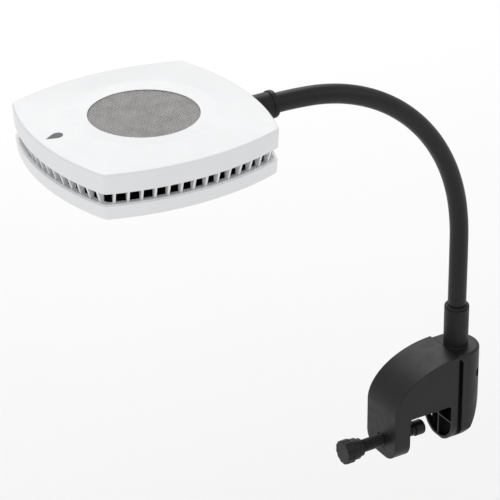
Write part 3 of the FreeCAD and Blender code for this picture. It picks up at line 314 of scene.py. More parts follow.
class Shading:
    """The node tree of one material, around its principled shader."""

    def __init__(self, name: str, **sockets: float | tuple) -> None:
        """Makes the material.

        Args:
            name: the material's name.
            sockets: values of the shader's own sockets, with _ for each space.
        """
        self.material = bpy.data.materials.new(name)
        self.material.use_nodes = True
        self.tree = self.material.node_tree
        self.shader = self.tree.nodes["Principled BSDF"]
        for socket, value in sockets.items():
            self.shader.inputs[socket.replace("_", " ")].default_value = value
        self.place = self.tree.nodes.new("ShaderNodeTexCoord").outputs["Object"]
        self.normal: Socket | None = None

    def node(self, kind: str, inputs: dict[str, object], out: str = "Fac", **values: object) -> Socket:
        """Adds a node and links it up.

        Args:
            kind: the node's type, without its prefix.
            inputs: a value for each input, or the socket that it is linked from.
            out: the output that is wanted.
            values: the node's own properties.

        Returns:
            That output.
        """
        made = self.tree.nodes.new(f"ShaderNode{kind}")
        for key, value in values.items():
            setattr(made, key, value)
        for key, value in inputs.items():
            if isinstance(value, bpy.types.NodeSocket):
                self.tree.links.new(value, made.inputs[key])
            else:
                made.inputs[key].default_value = value
        return made.outputs[out]

    def mapped(self) -> Socket:
        """Object coordinates in millimetres."""
        return self.node("Mapping", {"Vector": self.place, "Scale": (1 / MM,) * 3}, "Vector")

    def noise(self, size: float, detail: float = 3) -> Socket:
        """Soft noise whose features are that many millimetres wide."""
        return self.node("TexNoise", {"Scale": 1 / size, "Detail": detail, "Vector": self.mapped()})

    def cells(self, size: float, feature: str) -> Socket:
        """Distances in a pattern of cells that many millimetres wide."""
        wanted = {"Scale": 1 / size, "Vector": self.mapped()}
        return self.node("TexVoronoi", wanted, "Distance", feature=feature)

    def bands(self, pitch: float, direction: str, distortion: float) -> Socket:
        """Even bands across a direction, one every pitch millimetres."""
        wanted = {"Scale": math.pi / 10 / pitch, "Distortion": distortion, "Vector": self.mapped()}
        return self.node("TexWave", wanted, wave_type="BANDS", bands_direction=direction)

    def spread(self, factor: Socket, low: float, high: float) -> Socket:
        """The middle of a pattern's range, spread between two values."""
        wanted = {"Value": factor, "From Min": 0.3, "From Max": 0.7, "To Min": low, "To Max": high}
        return self.node("MapRange", wanted, "Result", clamp=True)

    def tint(self, factor: Socket, *stops: tuple[float, Sequence[float]]) -> None:
        """Gives the shader colours along a pattern: each stop is a place and a colour."""
        colours = self.node("ValToRGB", {"Fac": factor}, "Color")
        ramp = colours.node.color_ramp
        for index, (place, colour) in enumerate(stops):
            stop = ramp.elements[index] if index < 2 else ramp.elements.new(place)
            stop.position, stop.color = place, (*colour, 1)
        self.tree.links.new(colours, self.shader.inputs["Base Color"])

    def roughen(self, factor: Socket, low: float, high: float) -> None:
        """Lets the roughness follow a pattern."""
        self.tree.links.new(self.spread(factor, low, high), self.shader.inputs["Roughness"])

    def emboss(self, factor: Socket, depth: float, strength: float = 1) -> None:
        """Adds relief that deep, in millimetres, over what is there."""
        wanted = {"Strength": strength, "Distance": depth * MM, "Height": factor}
        if self.normal:
            wanted["Normal"] = self.normal
        self.normal = self.node("Bump", wanted, "Normal")
        self.tree.links.new(self.normal, self.shader.inputs["Normal"])


def shade(colour: Sequence[float], share: float) -> tuple[float, ...]:
    """A colour made lighter or darker by a share of itself."""
    return tuple(min(1.0, part * (1 + share)) for part in colour)


@dataclass(frozen=True)
class Moulded:
    """Moulded plastic or rubber: a spark-eroded grain over slow changes of tone and gloss."""

    slot: str
    colour: tuple[float, float, float]
    roughness: float
    grain: float = 0.35
    depth: float = 0.01
    specular: float = 0.5
    tone: float = 0.04
    coat: float = 0.0
    slow: float = 22.0

    def material(self) -> bpy.types.Material:
        """The finish as a material."""
        made = Shading(
            self.slot, Specular_IOR_Level=self.specular, Coat_Weight=self.coat, Coat_Roughness=0.25
        )
        slow = made.noise(self.slow)
        made.tint(slow, (0.3, shade(self.colour, -self.tone)), (0.7, shade(self.colour, self.tone)))
        made.roughen(made.noise(self.slow / 4), self.roughness - 0.05, self.roughness + 0.05)
        made.emboss(made.noise(self.slow / 3), self.depth * 2, 0.3)
        made.emboss(made.noise(self.grain, detail=2), self.depth)
        return made.material


@dataclass(frozen=True)
class Metal:
    """Bare, plated or anodised metal with fine tool marks across one direction."""

    slot: str
    colour: tuple[float, float, float]
    roughness: float
    marks: float = 0.3
    direction: str = "Z"
    depth: float = 0.006
    metallic: float = 1.0

    def material(self) -> bpy.types.Material:
        """The finish as a material."""
        made = Shading(self.slot, Metallic=self.metallic)
        made.tint(made.noise(6), (0.3, shade(self.colour, -0.12)), (0.7, shade(self.colour, 0.08)))
        made.roughen(made.noise(2.5), self.roughness - 0.07, self.roughness + 0.07)
        made.emboss(made.bands(self.marks, self.direction, 1.5), self.depth, 0.6)
        made.emboss(made.noise(0.2), self.depth)
        return made.material


@dataclass(frozen=True)
class Board:
    """Solder mask over copper tracks, with small bright pads."""

    slot: str
    mask: tuple[float, float, float]
    track: tuple[float, float, float]

    def material(self) -> bpy.types.Material:
        """The finish as a material."""
        made = Shading(self.slot, Coat_Weight=0.4, Coat_Roughness=0.15)
        cells = made.cells(2.4, "DISTANCE_TO_EDGE")
        made.tint(cells, (0.03, self.track), (0.06, self.mask), (0.9, shade(self.mask, 0.06)))
        made.roughen(made.noise(3), 0.3, 0.42)
        made.emboss(made.spread(cells, 1, 0), 0.03, 0.5)
        return made.material


@dataclass(frozen=True)
class Clear:
    """Clear moulded plastic or silicone."""

    slot: str
    colour: tuple[float, float, float]
    roughness: float = 0.03
    clarity: float = 1.0

    def material(self) -> bpy.types.Material:
        """The finish as a material."""
        made = Shading(self.slot, IOR=1.49, Transmission_Weight=self.clarity)
        made.tint(made.noise(14), (0.3, shade(self.colour, -0.03)), (0.7, self.colour))
        made.roughen(made.noise(9), self.roughness, self.roughness + 0.04)
        made.emboss(made.noise(8), 0.01, 0.15)
        return made.material


WHITE_SHELL = Moulded(
    "white_shell", (0.80, 0.805, 0.815), 0.36, grain=0.3, depth=0.004, tone=0.012, coat=0.15
)
BLACK_PLASTIC = Moulded("black_plastic", (0.007, 0.007, 0.0075), 0.46, depth=0.008, specular=0.27)
CLAMP_PLASTIC = Moulded("clamp_plastic", (0.0085, 0.0085, 0.009), 0.45, grain=0.45, depth=0.016, specular=0.3)
NECK_SLEEVE = Moulded("neck_rubber", (0.0055, 0.0055, 0.006), 0.42, grain=0.25, depth=0.005, specular=0.3)
SEAL = Moulded("seal_rubber", (0.012, 0.012, 0.012), 0.75, depth=0.012, specular=0.3)
NYLON = Moulded("nylon", (0.02, 0.02, 0.02), 0.5, depth=0.004)
MARK_INK = Moulded("mark_ink", (0.075, 0.075, 0.08), 0.5, depth=0.003)
INTAKE_WIRE = Metal("intake_steel", (0.60, 0.59, 0.585), 0.36, marks=0.15)
DARK_ANODISED = Metal("black_aluminium", (0.03, 0.03, 0.033), 0.48, marks=0.5, direction="X", metallic=0.7)
PLATED_STEEL = Metal("screw_steel", (0.50, 0.50, 0.51), 0.3)
WOUND_STEEL = Metal("neck_steel", (0.42, 0.42, 0.43), 0.35, marks=1.2, depth=0.15)
BLACK_STEEL = Metal("black_steel", (0.022, 0.022, 0.023), 0.42, metallic=0.35, direction="X")
TURNED_BRASS = Metal("bearing_brass", (0.78, 0.58, 0.27), 0.28)
WHITE_BOARD = Board("white_board", (0.80, 0.81, 0.80), (0.62, 0.62, 0.60))
GREEN_BOARD = Board("green_board", (0.02, 0.13, 0.05), (0.04, 0.24, 0.10))
WINDOW = Clear("clear_window", (0.96, 0.97, 0.98))
PHOSPHOR = Clear("led_yellow", (0.93, 0.72, 0.16), 0.12, clarity=0.25)
BLUE_DOME = Clear("led_blue", (0.70, 0.80, 0.95), 0.08, clarity=0.6)

Finish = Moulded | Metal | Board | Clear
_made: dict[Finish, bpy.types.Material] = {}


def material_of(finish: Finish) -> bpy.types.Material:
    """The finish's material, made once."""
    if finish not in _made:
        _made[finish] = finish.material()
    return _made[finish]


# ---------------------------------------------------------------- pieces


def finished(
    solid: BMesh,
    name: str,
    finish: Finish,
    body: str | None,
    replaced: Sequence[str] = (),
    slot: str | None = None,
    flip: bool = True,
) -> bpy.types.Object:
    """Turns a mesh in millimetres into a finished piece of the lamp.

    Args:
        solid: the mesh; it is used up.
        name: the piece's name.
        finish: what its surface is.
        body: the body that it rides on, or None to leave it on no body.
        replaced: the frame's nodes that it stands for.
        slot: the record's material slot, where it isn't the finish's own; not used.
        flip: whether the faces' directions are worked out again.

    Returns:
        The piece's object.
    """
    bmesh.ops.scale(solid, verts=solid.verts, vec=(MM, MM, MM))
    if flip:
        bmesh.ops.recalc_face_normals(solid, faces=solid.faces)
    data = bpy.data.meshes.new(name)
    solid.to_mesh(data)
    solid.free()
    data.shade_smooth()
    data.set_sharp_from_angle(angle=CREASE)
    data.materials.append(material_of(finish))
    piece = bpy.data.objects.new(name, data)
    bpy.context.scene.collection.objects.link(piece)
    even = piece.modifiers.new("even_normals", "WEIGHTED_NORMAL")
    even.keep_sharp = True
    if body:
        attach(piece, body)
    if replaced:
        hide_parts(*replaced)
    slot or finish.slot
    LOG.info("%s: %d faces", name, len(data.polygons))
    return piece


def smooth_group() -> bpy.types.NodeTree:
    """The node group that joins a frame node's loose triangles and shades its gentle edges smooth."""
    group = bpy.data.node_groups.new("even_surface", "GeometryNodeTree")
    group.interface.new_socket("Geometry", in_out="INPUT", socket_type="NodeSocketGeometry")
    group.interface.new_socket("Geometry", in_out="OUTPUT", socket_type="NodeSocketGeometry")
    start, end = group.nodes.new("NodeGroupInput"), group.nodes.new("NodeGroupOutput")
    weld = group.nodes.new("GeometryNodeMergeByDistance")
    weld.inputs["Distance"].default_value = 1e-6
    faces = group.nodes.new("GeometryNodeSetShadeSmooth")
    edges = group.nodes.new("GeometryNodeSetShadeSmooth")
    edges.domain = "EDGE"
    edges.inputs["Shade Smooth"].default_value = False
    angle = group.nodes.new("GeometryNodeInputMeshEdgeAngle")
    steep = group.nodes.new("FunctionNodeCompare")
    steep.data_type, steep.operation = "FLOAT", "GREATER_THAN"
    steep.inputs["B"].default_value = CREASE
    link = group.links.new
    link(start.outputs[0], weld.inputs["Geometry"])
    link(weld.outputs["Geometry"], faces.inputs["Geometry"])
    link(faces.outputs["Geometry"], edges.inputs["Geometry"])
    link(angle.outputs["Unsigned Angle"], steep.inputs["A"])
    link(steep.outputs["Result"], edges.inputs["Selection"])
    link(edges.outputs["Geometry"], end.inputs[0])
    return group


@dataclass
class CarriedNodes:
    """The frame's own solids whose shape is right: they keep it, and get their finish and even shading."""

    nodes: dict[str, bpy.types.Object]
    finishes: dict[str, Finish] = field(
        default_factory=lambda: {
            "mesh_retainer": BLACK_PLASTIC,
            "air_guide": BLACK_PLASTIC,
            "fan_frame": BLACK_PLASTIC,
            "fan_rotor": BLACK_PLASTIC,
            "fan_bearing": TURNED_BRASS,
            "fan_motor": PLATED_STEEL,
            "fan_axle": PLATED_STEEL,
            "fan_screws": PLATED_STEEL,
            "heat_sink": DARK_ANODISED,
            "arm_socket": DARK_ANODISED,
            "led_board": WHITE_BOARD,
            "driver_board": GREEN_BOARD,
            "window_seal": SEAL,
            "joining_pins": PLATED_STEEL,
            "retaining_ring": PLATED_STEEL,
            "lock_screw": PLATED_STEEL,
            "thread_insert": TURNED_BRASS,
            "swivel_washer": NYLON,
        }
    )

    def dress(self) -> None:
        """Gives every carried node its material and smoothing."""
        group = smooth_group()
        chosen = dict(self.finishes)
        chosen.update({name: WOUND_STEEL for name in self.nodes if name.startswith("neck_core")})
        for name, finish in chosen.items():
            node = self.nodes[name]
            node.data.materials.clear()
            node.data.materials.append(material_of(finish))
            node.modifiers.new("even_surface", "NODES").node_group = group


@dataclass
class BowedSquare:
    """The head's outline: a square with bowed sides and softly rounded corners."""

    middle: Vector
    side_radius: float = 142.0
    side_steps: int = 28
    corner_steps: int = 7

    def ring(self, half: float, level: float, corner: float = 4.5) -> list[Vector]:
        """The outline at one level.

        Args:
            half: half its width, at the middle of a side.
            level: its height above the head's top edge.
            corner: the rounding radius of its corners.

        Returns:
            Its points, anticlockwise seen from above.
        """
        offset = self.side_radius - half
        inner = self.side_radius - corner
        reach = (math.sqrt(2 * inner**2 - offset**2) - offset) / 2
        turn = math.degrees(math.atan2(reach, reach + offset))
        side = arc((-offset, 0), (self.side_radius,) * 2, -turn, turn, self.side_steps)
        bend = arc((reach, reach), (corner,) * 2, turn, 90 - turn, self.corner_steps)
        quarter = side[:-1] + bend[:-1]
        points = []
        for index in range(4):
            spin = Matrix.Rotation(math.radians(90 * index), 3, "Z")
            points += [self.middle + spin @ Vector((x, y, level)) for x, y in quarter]
        return points

    def circle(self, radius: float, level: float) -> list[Vector]:
        """A circle whose points lie in the same directions as the outline's."""
        points = []
        for point in self.ring(radius, 0):
            flat = (point - self.middle).normalized()
            points.append(self.middle + flat * radius + Z_AXIS * level)
        return points

    def between(self, outer: Sequence[Vector], inner: Sequence[Vector], share: float) -> list[Vector]:
        """The ring that share of the way from one ring to another."""
        return [a.lerp(b, share) for a, b in zip(outer, inner)]


@dataclass
class Head:
    """The head's two shells, its outlets, intake, underside and screws."""

    middle: Vector
    half: float = 62.0
    draft: float = 0.046
    wall: float = 2.2
    crown: float = 1.9
    ceiling: float = 1.5
    dish_radius: float = 39.5
    intake_radius: float = 30.0
    dish_fall: float = 0.6
    mesh_level: float = 1.0
    seat_radius: float = 33.0
    band_top: float = -11.3
    band_foot: float = -17.8
    floor_top: float = -24.3
    foot: float = -26.3
    arm_level: float = -13.0
    collar_radius: float = 7.3
    vane_thick: float = 1.4
    vane_count: int = 14
    vane_pitch: float = 2.95
    screw_place: float = 41.0
    edge_round: float = 1.1

    def __post_init__(self) -> None:
        """Sets up the outline that every level shares."""
        self.outline = BowedSquare(self.middle)

    def at(self, x: float, y: float, level: float) -> Vector:
        """A point, counted from the head's middle and its top edge."""
        return self.middle + Vector((x, y, level))

    def half_at(self, level: float) -> float:
        """Half the head's width at a level, with the walls' inward lean."""
        return self.half + self.draft * min(level, 0)

    def build(self) -> None:
        """Builds every piece of the head."""
        self.top_shell()
        self.lower_shell()
        self.outlets()
        self.intake()
        self.window()
        self.leds()
        self.case_screws()
        self.inlet()
        self.collar()

    def rounding(self, half: float, level: float, radius: float, up: bool) -> list[list[Vector]]:
        """Rings that round the edge between a wall and a flat that looks up or down."""
        sign = 1 if up else -1
        curve = arc((half - radius, level - sign * radius), (radius, sign * radius), 0, 90, 4)
        rings = [self.outline.ring(*place) for place in curve]
        return rings if up else rings[::-1]

    def arm_way(self, clearance: float) -> BMesh:
        """The round way that the collar takes through the head's side."""
        radius = self.collar_radius + clearance
        start = self.at(self.half - 9, 0, self.arm_level)
        return solid_of(turned, [(0, 0), (radius, 0), (radius, 20), (0, 20)], start, X_AXIS, 48)

    def top_shell(self) -> None:
        """The domed upper shell, its shallow dish and the lip over the mesh."""
        ring, circle, between = self.outline.ring, self.outline.circle, self.outline.between
        inner_half = self.half - self.wall
        foot_half = self.half_at(self.band_top)
        edge_rings = self.rounding(self.half, 0, self.edge_round, up=True)
        crown_start = edge_rings[-1]
        dish_edge = circle(self.dish_radius + 0.5, self.crown - 0.02)
        rings = [ring(foot_half - 0.35, self.band_top), ring(foot_half, self.band_top + 0.35)]
        rings += edge_rings
        rings += [between(crown_start, dish_edge, share) for share in (0.12, 0.3, 0.5, 0.7, 0.88)]
        dish_drop = self.dish_radius - self.intake_radius
        rings += [dish_edge, circle(self.dish_radius, self.crown)]
        rings += [circle(self.dish_radius - 0.6, self.crown - 0.1)]
        rings += [
            circle(self.dish_radius - dish_drop * share, self.crown - self.dish_fall * share ** 0.75)
            for share in (0.25, 0.5, 0.75, 0.95)
        ]
        lip = self.crown - self.dish_fall
        rings += [circle(self.intake_radius + 0.12, lip - 0.06), circle(self.intake_radius, lip - 0.22)]
        rings += [circle(self.intake_radius, self.mesh_level), circle(self.seat_radius, self.mesh_level)]
        rings += [circle(self.seat_radius, -self.ceiling)]
        rings += [ring(inner_half, -self.ceiling, 3), ring(inner_half, self.band_top, 3)]
        shell = solid_of(lofted, rings)
        shell = carved(shell, self.arm_way(0.15), Carve.CUT)
        shell = carved(shell, self.inlet_way(), Carve.CUT)
        self.mark(BVHTree.FromBMesh(shell))
        finished(shell, "top_shell", WHITE_SHELL, Body.HEAD, ["top_cover"])

    def lower_shell(self) -> None:
        """The lower shell, with its ledge under the outlets and the window's opening."""
        ring, circle = self.outline.ring, self.outline.circle
        top_half, foot_half = self.half_at(self.band_foot), self.half_at(self.foot)
        inner = self.half_at(self.band_foot) - self.wall
        rings = [circle(34.0, self.floor_top - 1.2), circle(34.0, self.foot + 0.5), circle(35.2, self.foot)]
        rings += self.rounding(foot_half, self.foot, 1.4, up=False)
        rings += [ring(top_half, self.band_foot - 0.75), ring(top_half - 0.12, self.band_foot - 0.45)]
        rings += [ring(top_half - 0.9, self.band_foot - 0.3), ring(top_half - 1.0, self.band_foot)]
        rings += [ring(inner, self.band_foot, 3), ring(inner, self.floor_top, 3)]
        rings += [circle(37.15, self.floor_top), circle(37.15, self.floor_top - 1.2)]
        shell = solid_of(lofted, rings)
        shell = carved(shell, self.arm_way(0.15), Carve.CUT)
        seats = bmesh.new()
        for place in self.screw_places(self.foot - 1):
            turned(seats, [(0, 0), (3.1, 0), (3.1, 3.2), (1.6, 3.2), (1.6, 5), (0, 5)], place, Z_AXIS, 32)
        finished(carved(shell, seats, Carve.CUT), "lower_shell", WHITE_SHELL, Body.HEAD, ["lower_cover"])

    def screw_places(self, level: float) -> list[Vector]:
        """Where the four case screws are."""
        place = self.screw_place
        return [self.at(sx * place, sy * place, level) for sx in (-1, 1) for sy in (-1, 1)]

    def outlets(self) -> None:
        """The rails and thin upright vanes between the shells, open for the collar on the arm's side."""
        ring = self.outline.ring
        solid = bmesh.new()
        inner = self.half - 6.1
        for half, low, high in (
            (self.half - self.wall - 0.15, self.band_top, self.band_top + 1.2),
            (self.half_at(self.band_foot) - self.wall - 0.15, self.band_foot - 1.2, self.band_foot - 0.35),
        ):
            section = ((inner, low, 2), (half, low, 3), (half, high, 3), (inner, high, 2))
            lofted(solid, [ring(*corner) for corner in section])
        solid = carved(solid, self.arm_way(0.15), Carve.CUT)
        for side in range(4):
            for step in range(self.vane_count):
                turn = (step - (self.vane_count - 1) / 2) * self.vane_pitch
                beside_arm = self.outline.side_radius * abs(math.sin(math.radians(turn)))
                if side == 0 and beside_arm < self.collar_radius + self.vane_thick:
                    continue
                self.vane(solid, 90 * side, turn)
        finished(solid, "outlet_vanes", WHITE_SHELL, Body.HEAD, ["vent_ring"])

    def vane(self, solid: BMesh, side: float, turn: float) -> None:
        """One vane: a thin plate whose outer edge leans in towards its foot.

        Args:
            solid: the mesh that it is added to.
            side: the direction of the head's side that it is on, in degrees.
            turn: its angle from the middle of that side, about the side's own centre.
        """
        radius = self.outline.side_radius
        made = bmesh.ops.create_cube(solid, size=1)["verts"]
        for vert in made:
            top = vert.co.z > 0
            outer, inner = radius - (1.1 if top else 3.3), radius - 5.6
            vert.co.x = outer if vert.co.x > 0 else inner
            vert.co.y *= self.vane_thick * (0.86 if vert.co.x == outer else 1)
            vert.co.z = self.band_top + 0.05 if top else self.band_foot - 0.4
        edges = {edge for vert in made for edge in vert.link_edges}
        upright = [
            edge
            for edge in edges
            if abs(edge.verts[0].co.z - edge.verts[1].co.z) > 1 and edge.verts[0].co.x > radius - 5
        ]
        placed = (
            Matrix.Translation(self.middle)
            @ Matrix.Rotation(math.radians(side), 4, "Z")
            @ Matrix.Translation((self.half - radius, 0, 0))
            @ Matrix.Rotation(math.radians(turn), 4, "Z")
        )
        bmesh.ops.transform(solid, matrix=placed, verts=made)
        soften(solid, upright, 0.3, 2)

    def intake(self) -> None:
        """The woven steel disc: two sets of crimped wires, over and under each other."""
        pitch, wire, lift = 1.15, 0.23, 0.22
        reach = self.seat_radius - 0.4
        curve = bpy.data.curves.new("weave_path", "CURVE")
        curve.dimensions, curve.bevel_depth, curve.bevel_resolution = "3D", wire, 0
        count = int(reach / pitch)
        for family in (0, 1):
            along = Matrix.Rotation(math.radians(45 + 90 * family), 3, "Z")
            for row in range(-count, count + 1):
                offset = (row + 0.5) * pitch
                if abs(offset) > reach - pitch:
                    continue
                half_length = math.sqrt(reach**2 - offset**2)
                crossings = int(half_length / pitch)
                line = curve.splines.new("POLY")
                steps = range(-2 * crossings, 2 * crossings + 1)
                line.points.add(len(steps) - 1)
                for point, step in zip(line.points, steps):
                    place = step * pitch / 2
                    phase = math.pi * ((step - 1) / 2 + row + family)
                    rise = lift * math.cos(phase)
                    flat = along @ Vector((place, offset, 0))
                    point.co = (*(self.at(flat.x, flat.y, self.mesh_level - 0.46 + rise)), 1)
        holder = bpy.data.objects.new("weave_path", curve)
        bpy.context.scene.collection.objects.link(holder)
        weave = bmesh.new()
        data = bpy.data.meshes.new_from_object(holder.evaluated_get(bpy.context.evaluated_depsgraph_get()))
        weave.from_mesh(data)
        bpy.data.objects.remove(holder)
        bpy.data.meshes.remove(data)
        boundary = [edge for edge in weave.edges if edge.is_boundary]
        bmesh.ops.holes_fill(weave, edges=boundary, sides=0)
        finished(weave, "intake_weave", INTAKE_WIRE, Body.HEAD, ["intake_mesh"])

    def window(self) -> None:
        """The clear pane under the light engine, with a stepped edge."""
        pane = bmesh.new()
        profile = [(0, 0), (33.6, 0), (33.9, 0.25), (33.9, 0.3), (36.7, 0.3), (37.0, 0.5)]
        profile += [(37.0, 1.2), (0, 1.2)]
        turned(pane, profile, self.at(0, 0, self.floor_top - 1.2), Z_AXIS, 96)
        finished(pane, "window_pane", WINDOW, Body.HEAD, ["lens_window"])

    def leds(self) -> None:
        """The LED packages in rings: a white base each, with a domed lens."""
        board_foot = self.floor_top + 1.2
        bases, domes, blue = bmesh.new(), bmesh.new(), bmesh.new()
        for ring, (radius, count) in enumerate(((0, 1), (8, 6), (16, 12), (24, 16))):
            for index in range(count):
                turn = math.radians(360 * index / count)
                place = self.at(radius * math.cos(turn), radius * math.sin(turn), board_foot)
                corner = Vector((1.75, 1.75, 0))
                block(bases, place - corner - Z_AXIS * 0.45, place + corner, 0.12)
                tinted = blue if (index + ring) % 3 == 1 else domes
                dome = [(0, -0.9), (0.62, -0.84), (1.1, -0.66), (1.35, -0.42), (1.35, -0.3), (0, -0.3)]
                turned(tinted, dome, place, Z_AXIS, 12)
        finished(bases, "led_bases", WHITE_BOARD, Body.HEAD, ["led_emitters"])
        finished(domes, "led_domes_white", PHOSPHOR, Body.HEAD)
        finished(blue, "led_domes_blue", BLUE_DOME, Body.HEAD, slot="led_yellow")

    def case_screws(self) -> None:
        """Four countersunk screws, each with a hexagon recess."""
        screws = bmesh.new()
        for place in self.screw_places(self.foot + 0.35):
            head = [(0, 0), (2.45, 0), (2.8, 0.35), (2.8, 1.7), (1.45, 1.75), (1.45, 16), (0, 16)]
            turned(screws, head, place, Z_AXIS, 32)
        sockets = bmesh.new()
        for place in self.screw_places(self.foot):
            bmesh.ops.create_cone(
                sockets, cap_ends=True, segments=6, radius1=1.5, radius2=1.5, depth=2.6,
                matrix=Matrix.Translation(place),
            )
        screws = carved(screws, sockets, Carve.CUT)
        finished(screws, "case_screw_set", PLATED_STEEL, Body.HEAD, ["case_screws"])

    def inlet_start(self) -> Vector:
        """The middle of the power inlet's mouth."""
        low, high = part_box("power_inlet")
        return Vector((high.x, (low.y + high.y) / 2, (low.z + high.z) / 2)) / MM

    def inlet_way(self) -> BMesh:
        """The hole in the upper shell that the power inlet stands in."""
        start = self.inlet_start() - X_AXIS * 12
        return solid_of(turned, [(0, 0), (4.15, 0), (4.15, 20), (0, 20)], start, X_AXIS, 40)

    def inlet(self) -> None:
        """The power inlet: a black barrel with its contact pin."""
        mouth = self.inlet_start()
        barrel = bmesh.new()
        shell = [(2.8, -9), (4, -11), (4, -0.3), (3.7, 0), (3.1, 0), (2.8, -0.3)]
        turned(barrel, shell, mouth, X_AXIS, 40)
        turned(barrel, [(0, -11), (3.9, -11), (3.9, -8.8), (0, -8.8)], mouth, X_AXIS, 40)
        finished(barrel, "inlet_barrel", BLACK_PLASTIC, Body.HEAD, ["power_inlet"])
        pin = bmesh.new()
        turned(pin, [(0, -9), (1, -9), (1, -1.3), (0.6, -1), (0, -1)], mouth, X_AXIS, 24)
        finished(pin, "inlet_pin", PLATED_STEEL, Body.HEAD)

    def collar(self) -> None:
        """The collar that holds the neck's end, with a raised ring at its mouth."""
        low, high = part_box("head_collar")
        start = Vector((low.x / MM, 0, self.middle.z + self.arm_level))
        reach = (high.x - low.x) / MM
        radius, ring = self.collar_radius, self.collar_radius + 0.6
        profile = [(4.2, 0), (radius - 0.3, 0), (radius, 0.3)]
        behind_mouth = ((radius, 3.25), (radius + 0.12, 3.1), (ring - 0.15, 3), (ring, 2.8), (ring, 0.7))
        behind_mouth += ((ring - 0.2, 0.2), (ring - 0.7, 0), (5.95, 0), (5.65, 0.4), (5.65, 10), (4.2, 10))
        profile += [(across, reach - depth) for across, depth in behind_mouth]
        solid = solid_of(turned, profile, start, X_AXIS, 72)
        finished(solid, "neck_collar", BLACK_PLASTIC, Body.HEAD, ["head_collar"])

    def mark(self, cover: BVHTree) -> None:
        """A plain drop of dark ink printed on the top, near the middle of one side.

        Args:
            cover: the top shell's surface, in millimetres.
        """
        centre, size = Vector((-51.0, 0.5)), 3.1
        point = size * 2.2
        tangent = math.degrees(math.acos(size / point))
        turn = Matrix.Rotation(math.radians(90), 2)
        drop = [(0, point), *arc((0, 0), (size, size), 90 + tangent, 450 - tangent, 26)]
        rings: list[list[Vector]] = []
        for scale, lift in ((0.02, -0.1), (1, -0.1), (1, 0.02), (0.6, 0.02), (0.3, 0.02), (0.02, 0.02)):
            flat = [centre + turn @ Vector(place) * scale for place in drop]
            starts = [self.at(place.x, place.y, 20) for place in flat]
            rings.append([cover.ray_cast(start, -Z_AXIS)[0] + Z_AXIS * lift for start in starts])
        film = solid_of(lofted, rings, closed=False)
        finished(film, "drop_mark", MARK_INK, Body.HEAD, slot="black_plastic")


@dataclass
class Neck:
    """The gooseneck's smooth sleeve, in sections that each curve round one joint."""

    points: list[Vector]
    start: Vector
    end: Vector
    radius: float = 5.6
    bore: float = 4.45
    grip: float = 9.5
    facets: int = 48
    steps: int = 18

    def build(self) -> None:
        """Builds the section round every bending point."""
        last = len(self.points) - 1
        chain = [self.start, *self.points, self.end]
        middles = [(a + b) / 2 for a, b in zip(chain, chain[1:])]
        middles[0] = self.start - (self.points[0] - self.start).normalized() * self.grip
        middles[-1] = self.end + (self.end - self.points[last]).normalized() * self.grip
        sleeves = ["post", *(f"{index:02d}" for index in range(1, last + 1)), "head"]
        for index, point in enumerate(self.points):
            solid = self.section(middles[index], point, middles[index + 1])
            stands_for = sleeves[index:] if index == last else sleeves[index : index + 1]
            replaced = [f"neck_sleeve_{name}" for name in stands_for]
            piece = finished(solid, f"sleeve_section_{index + 1:02d}", NECK_SLEEVE, None, replaced)
            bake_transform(piece)

    def section(self, first: Vector, corner: Vector, last: Vector) -> BMesh:
        """One section of hollow sleeve that follows two straight runs joined by an arc.

        Args:
            first: the start of its line.
            corner: the bending point, where the two runs would meet.
            last: the end of its line.

        Returns:
            The closed mesh.
        """
        before, after = (corner - first).normalized(), (last - corner).normalized()
        reach = min((corner - first).length, (last - corner).length)
        turn = before.angle(after)
        moves: list[Matrix] = []
        lead_in = (corner - first).length - reach
        lead_out = (last - corner).length - reach
        moves += [Matrix.Translation(before * lead_in / 4)] * 4 if lead_in > 0.1 else []
        if turn > 1e-3:
            axis = before.cross(after).normalized()
            centre = corner - before * reach + axis.cross(before) * reach / math.tan(turn / 2)
            step = Matrix.Rotation(turn / self.steps, 4, axis)
            moves += [Matrix.Translation(centre) @ step @ Matrix.Translation(-centre)] * self.steps
        else:
            moves += [Matrix.Translation(before * 2 * reach / self.steps)] * self.steps
        moves += [Matrix.Translation(after * lead_out / 4)] * 4 if lead_out > 0.1 else []
        solid = bmesh.new()
        frame = Matrix.Translation(first) @ before.to_track_quat("Z", "Y").to_matrix().to_4x4()
        ends: list[bmesh.types.BMEdge] = []
        finish: list[bmesh.types.BMEdge] = []
        for radius in (self.radius, self.bore):
            made = bmesh.ops.create_circle(solid, segments=self.facets, radius=radius, matrix=frame)["verts"]
            edges = list({edge for vert in made for edge in vert.link_edges})
            ends += edges
            for move in moves:
                raised = bmesh.ops.extrude_edge_only(solid, edges=edges)["geom"]
                verts = [item for item in raised if isinstance(item, bmesh.types.BMVert)]
                chosen = set(verts)
                bmesh.ops.transform(solid, matrix=move, verts=verts)
                edges = [e for v in verts for e in v.link_edges if e.other_vert(v) in chosen]
                edges = list(set(edges))
            finish += edges
        bmesh.ops.bridge_loops(solid, edges=ends)
        bmesh.ops.bridge_loops(solid, edges=finish)
        return solid


